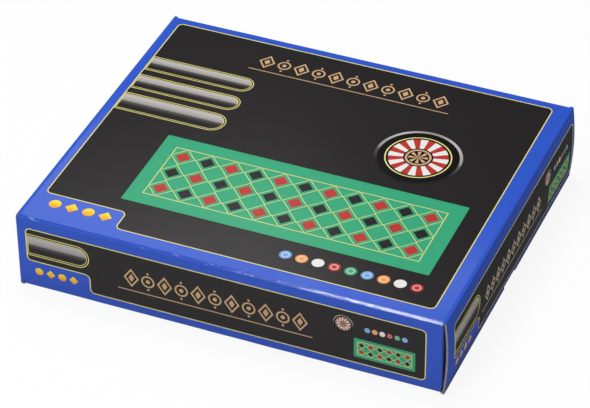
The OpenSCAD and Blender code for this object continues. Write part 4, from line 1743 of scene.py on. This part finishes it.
@dataclass
class RulesLeaflet(FoldedSheet):
    """Folded paper leaflet that lies on the mat; its place for words stays bare."""

    under: PlayingMat = field(default_factory=PlayingMat)
    length: float = 296.0
    width: float = 105.0
    thick: float = 0.2
    air: float = 0.1
    foot: float = 56.42
    corner_r: float = 0.4
    spring: float = 0.5
    spring_x: float = 60.0
    spring_l: float = 134.0

    def rest(self, x: float, y: float) -> float:
        """The leaflet follows the mat's waves."""
        return self.under.lift(x, y)

    def lift(self, x: float, y: float) -> float:
        """The upper leaf springs open a little towards its free edge."""
        return self.spring * max(0.0, (self.spring_x - x) / self.spring_l) ** 2

    def build(self) -> None:
        """Builds the paper and its print."""
        # Uncoated paper with ink soaked in: both flat and without gloss
        paper = PlainLiner("leaflet_paper", "#e8e6e0", "#e2dfd8").build()
        finish_piece(
            "rules_leaflet_paper", self.blank(), [paper], "carton", ["rules_leaflet"]
        )
        sheet = PrintSheet("rules_leaflet_print", self)
        half = self.width / 2
        for x0 in (0.0, self.length / 2):
            box = rectangle(x0 + 8, 8 - half, x0 + 140, half - 8)
            sheet.shape(box, MatInk.BLACK, 1, 3.0, line=0.5)
            sheet.disc((x0 + 74, 8), 24.0, MatInk.BLACK, 1, line=1.6, sides=48)
            sheet.disc((x0 + 74, 8), 13.0, MatInk.RED, 1, line=1.0, sides=40)
            for i in range(12):
                turn = math.radians(30 * i)
                sheet.disc(
                    (x0 + 74 + 18 * math.cos(turn), 8 + 18 * math.sin(turn)), 2.0,
                    MatInk.RED if i % 2 else MatInk.BLACK, 1, sides=16,
                )
            sheet.bar(x0 + 40, -32, x0 + 108, -31.2, MatInk.LINE, 1)
        inks = [PlainLiner("leaflet_ink_" + word, colour, colour).build() for word, colour in (
            ("grey", "#6b6966"), ("red", "#b3302c"), ("black", "#262425"), ("cream", "#e8e0c8"),
        )]
        sheet.finish(inks, "carton")
        LOG.info("folded the leaflet")


# what is packed inside


@dataclass
class Contents:
    """Finishes for the game's pieces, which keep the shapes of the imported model."""

    wheel_centre: Point = (-30.5, 0.0)
    pockets: int = 37
    band_z: float = 21.6
    band_r: Point = (63.0, 75.0)
    digit_r: float = 69.2
    digit_h: float = 5.4
    wheel_order: tuple[int, ...] = (
        0, 32, 15, 19, 4, 21, 2, 25, 17, 34, 6, 27, 13, 36, 11, 30, 8, 23, 10,
        5, 24, 16, 33, 1, 20, 14, 31, 9, 22, 18, 29, 7, 28, 12, 35, 3, 26,
    )

    def build(self) -> None:
        """Dresses every piece inside the carton."""
        self._board()
        self._rack()
        self._wheel()
        self._rake()
        mat = PlayingMat()
        mat.build()
        RulesLeaflet(under=mat).build()

    def _board(self) -> None:
        """Insert and glue tab of unprinted board."""
        # Kraft paper reads as warm and dull; the glue tab shows the carton's pale inner liner
        liner = PlainLiner("brown_liner", "#b08a60", "#a57f56").build()
        dress("insert_platform", liner)
        dress("insert_end_legs", liner)
        dress("carton_glue_tab", PlainLiner("white_liner", "#c9c5bd", "#a9a49b").build())

    def _rack(self) -> None:
        """Chip rack, chips, plaques and balls."""
        # Formed sheet has a soft, even sheen; plaques and balls are glossier and catch sharp lights
        dress("chip_rack", MouldedPlastic("vacuum_formed_black", "#1b1b1d", 0.38).build())
        for node, colour in (
            ("chips_blue", "#5d93d6"), ("chips_orange", "#ee9440"), ("chips_white", "#e9e8e4"),
            ("chips_red", "#c94a4a"), ("chips_green", "#3d9f72"),
        ):
            low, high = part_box(node)
            middle = (low + high) / 2
            spot = "#e9e6dc" if node != "chips_white" else "#b9c3cf"
            chip = SpottedChip(node + "_plastic", colour, (middle.x / MM, middle.z / MM), low.y / MM, spot)
            dress(node, chip.build())
        dress("plaques_pink", MouldedPlastic("plaque_pink", "#e38a9c", 0.25).build())
        dress("plaques_mint", MouldedPlastic("plaque_mint", "#8fd3b8", 0.25).build())
        dress("roulette_balls", MouldedPlastic("ball_white", "#f1efe9", 0.15, coat=0.4).build())

    def _wheel(self) -> None:
        """Bowl, rotor and turret."""
        x, y = self.wheel_centre
        # The glossy bowl mirrors what stands in it, the duller rotor lets the gold parts stand out,
        # and lathe lines draw the metals' highlights out into fans
        dress("wheel_bowl", MouldedPlastic("bowl_black", "#141415", 0.22, coat=0.3).build())
        dress("wheel_rotor", MouldedPlastic("rotor_black", "#1f1a1a", 0.36).build())
        dress("number_ring", NumberPrint("number_band_print", self.wheel_centre, self.pockets).build())
        self._digits()
        gold = PolishedMetal("gold_plate", "#d7ad57", (x, y), 0.2).build()
        for node in ("rotor_cone", "pocket_frets", "turret", "turret_arms", "turret_finial"):
            dress(node, gold)
        dress("wheel_spindle", PolishedMetal("turned_steel", "#b9bcc0", (x, y), 0.28).build())
        dress("rotor_bush", PolishedMetal("turned_brass", "#c79b4b", (x, y), 0.32).build())

    def _digits(self) -> None:
        """Prints the band's numbers, their heads outwards, between two gold rules."""
        x, y = self.wheel_centre
        sheet = PrintSheet(
            "number_band_digits",
            Face(Vector((x, y, self.band_z)), Vector((1, 0, 0)), Vector((0, 1, 0)), 150, 150),
        )
        for i, value in enumerate(self.wheel_order):
            turn = 360 * i / len(self.wheel_order)
            spot = (
                self.digit_r * math.cos(math.radians(turn)), self.digit_r * math.sin(math.radians(turn))
            )
            sheet.number(str(value), spot, self.digit_h, MatInk.PALE, 2, turn - 90)
        for radius in (self.band_r[0] + 1.0, self.band_r[1] - 0.7):
            sheet.disc((0, 0), radius, MatInk.LINE, 2, line=0.45, sides=111)
        inks = [MouldedPlastic("dial_print_" + word, colour, 0.3).build() for word, colour in (
            ("gold", "#d9bd6a"), ("red", "#a81f24"), ("black", "#17171a"), ("cream", "#f0ead8"),
        )]
        sheet.finish(inks, "rotor")

    def _rake(self) -> None:
        """Rake."""
        # The grip is dull to the eye as to the hand, and the rod is the one sharp mirror in the set
        dress("rake_grip", MouldedPlastic("grip_black", "#161617", 0.45).build())
        dress("rake_grip_cap", MouldedPlastic("cap_green", "#2c6e4a", 0.35).build())
        dress("rake_blade", MouldedPlastic("blade_black", "#121213", 0.25).build())
        dress("rake_rod", PolishedMetal("chromed_rod", "#c8cacd", (0, 0), 0.12).build())


# studio


@dataclass
class Studio:
    """Floor, lights and the photograph's viewpoint."""

    azimuth: float = 22.94
    elevation: float = 37.38
    roll: float = -0.54
    lens: float = 182.27
    distance: float = 2.2173
    shift_right: float = -0.00475
    shift_up: float = -0.00749
    focus_height: float = 0.03195

    def build(self) -> None:
        """Makes the studio."""
        self._floor()
        self._lights()
        self._world()
        self._camera()
        LOG.info("set the studio")

    def _floor(self) -> None:
        """White floor that keeps the object's shadow."""
        bm = bmesh.new()
        bmesh.ops.create_grid(bm, x_segments=2, y_segments=2, size=8.0)
        mesh = bpy.data.meshes.new("studio_floor")
        bm.to_mesh(mesh)
        bm.free()
        floor = add_object("studio_floor", mesh)
        material = bpy.data.materials.new("white_paper_sweep")
        tree = empty_tree(material)
        rays = node(tree, "LightPath").outputs
        bounced = (rays["Is Glossy Ray"], rays["Is Transmission Ray"])
        reflected = node(tree, "Math", bounced, operation="ADD")
        looked_at = node(tree, "Math", (rays["Is Camera Ray"], reflected), operation="ADD")
        seen = node(tree, "Math", (1.0, looked_at), operation="MINIMUM")
        # Plain white where it is looked at, but only dull paper where it lights the object
        share = node(tree, "Math", (seen, 0.9), operation="MULTIPLY")
        paper = node(tree, "BsdfDiffuse", {"Color": linear("#f4f4f4")})
        glow = node(tree, "Emission", {"Color": (1, 1, 1, 1), "Strength": 1.0})
        node(tree, "OutputMaterial", {"Surface": node(tree, "MixShader", (share, paper, glow))})
        mesh.materials.append(material)

    def _lights(self) -> None:
        """A softbox overhead, a broad one behind and a strip that draws out the front top fold."""
        for name, place, aim, size, watts in (
            ("key_softbox", (-0.1, 0.1, 1.3), (0.0, 0.0, 0.0), (0.5, 0.5), 6.2),
            ("rear_softbox", (-0.80, 0.92, 1.54), (0.0, 0.0, 0.0), (1.0, 0.74), 9.0),
            ("fold_strip", (-0.25, -1.08, 1.14), (0.13, -0.138, 0.062), (0.2, 0.7), 8.0),
        ):
            lamp = bpy.data.lights.new(name, "AREA")
            lamp.shape = "RECTANGLE"
            lamp.size, lamp.size_y = size
            lamp.energy = watts
            holder = add_object(name, lamp)
            holder.location = place
            holder.rotation_euler = (Vector(aim) - Vector(place)).to_track_quat("-Z", "Y").to_euler()

    def _world(self) -> None:
        """Pale room, brighter overhead than at the horizon."""
        world = bpy.data.worlds.new("studio_room")
        bpy.context.scene.world = world
        tree = empty_tree(world)
        way = node(tree, "TexCoord").outputs["Generated"]
        up = node(tree, "SeparateXYZ", (way,)).outputs[2]
        level = node(tree, "MapRange", (up, 0.55, 0.95, 0.12, 0.5)).outputs[0]
        sky = node(tree, "Background", {"Color": (1, 1, 1, 1), "Strength": level}).outputs[0]
        node(tree, "OutputWorld", {"Surface": sky})

    def _camera(self) -> None:
        """Camera at the photograph's angle."""
        az, el, roll = (math.radians(a) for a in (self.azimuth, self.elevation, self.roll))
        back = Vector((math.sin(az) * math.cos(el), -math.cos(az) * math.cos(el), math.sin(el)))
        right = Vector((0, 0, 1)).cross(back).normalized()
        up = back.cross(right)
        turned_right = right * math.cos(roll) + up * math.sin(roll)
        turned_up = up * math.cos(roll) - right * math.sin(roll)
        data = bpy.data.cameras.new("photo_camera")
        data.lens = self.lens
        data.sensor_width = 36.0
        data.sensor_fit = "HORIZONTAL"
        data.clip_start, data.clip_end = 0.05, 50.0
        camera = add_object("photo_camera", data)
        place = (
            Vector((0, 0, self.focus_height))
            + turned_right * self.shift_right
            + turned_up * self.shift_up
            + back * self.distance
        )
        turn = Matrix((turned_right, turned_up, back)).transposed()
        camera.matrix_world = Matrix.Translation(place) @ turn.to_4x4()
        bpy.context.scene.camera = camera


def main() -> None:
    """Builds the carton, dresses its contents and sets the studio."""
    bpy.context.scene.view_settings.view_transform = "Standard"
    carton = Carton()
    carton.build_sleeve()
    for side in (1, -1):
        carton.build_end(side)
    carton.print_faces()
    Contents().build()
    Studio().build()


if __name__ == "__main__":
    logging.basicConfig(level=logging.INFO, format="%(message)s")
    main()
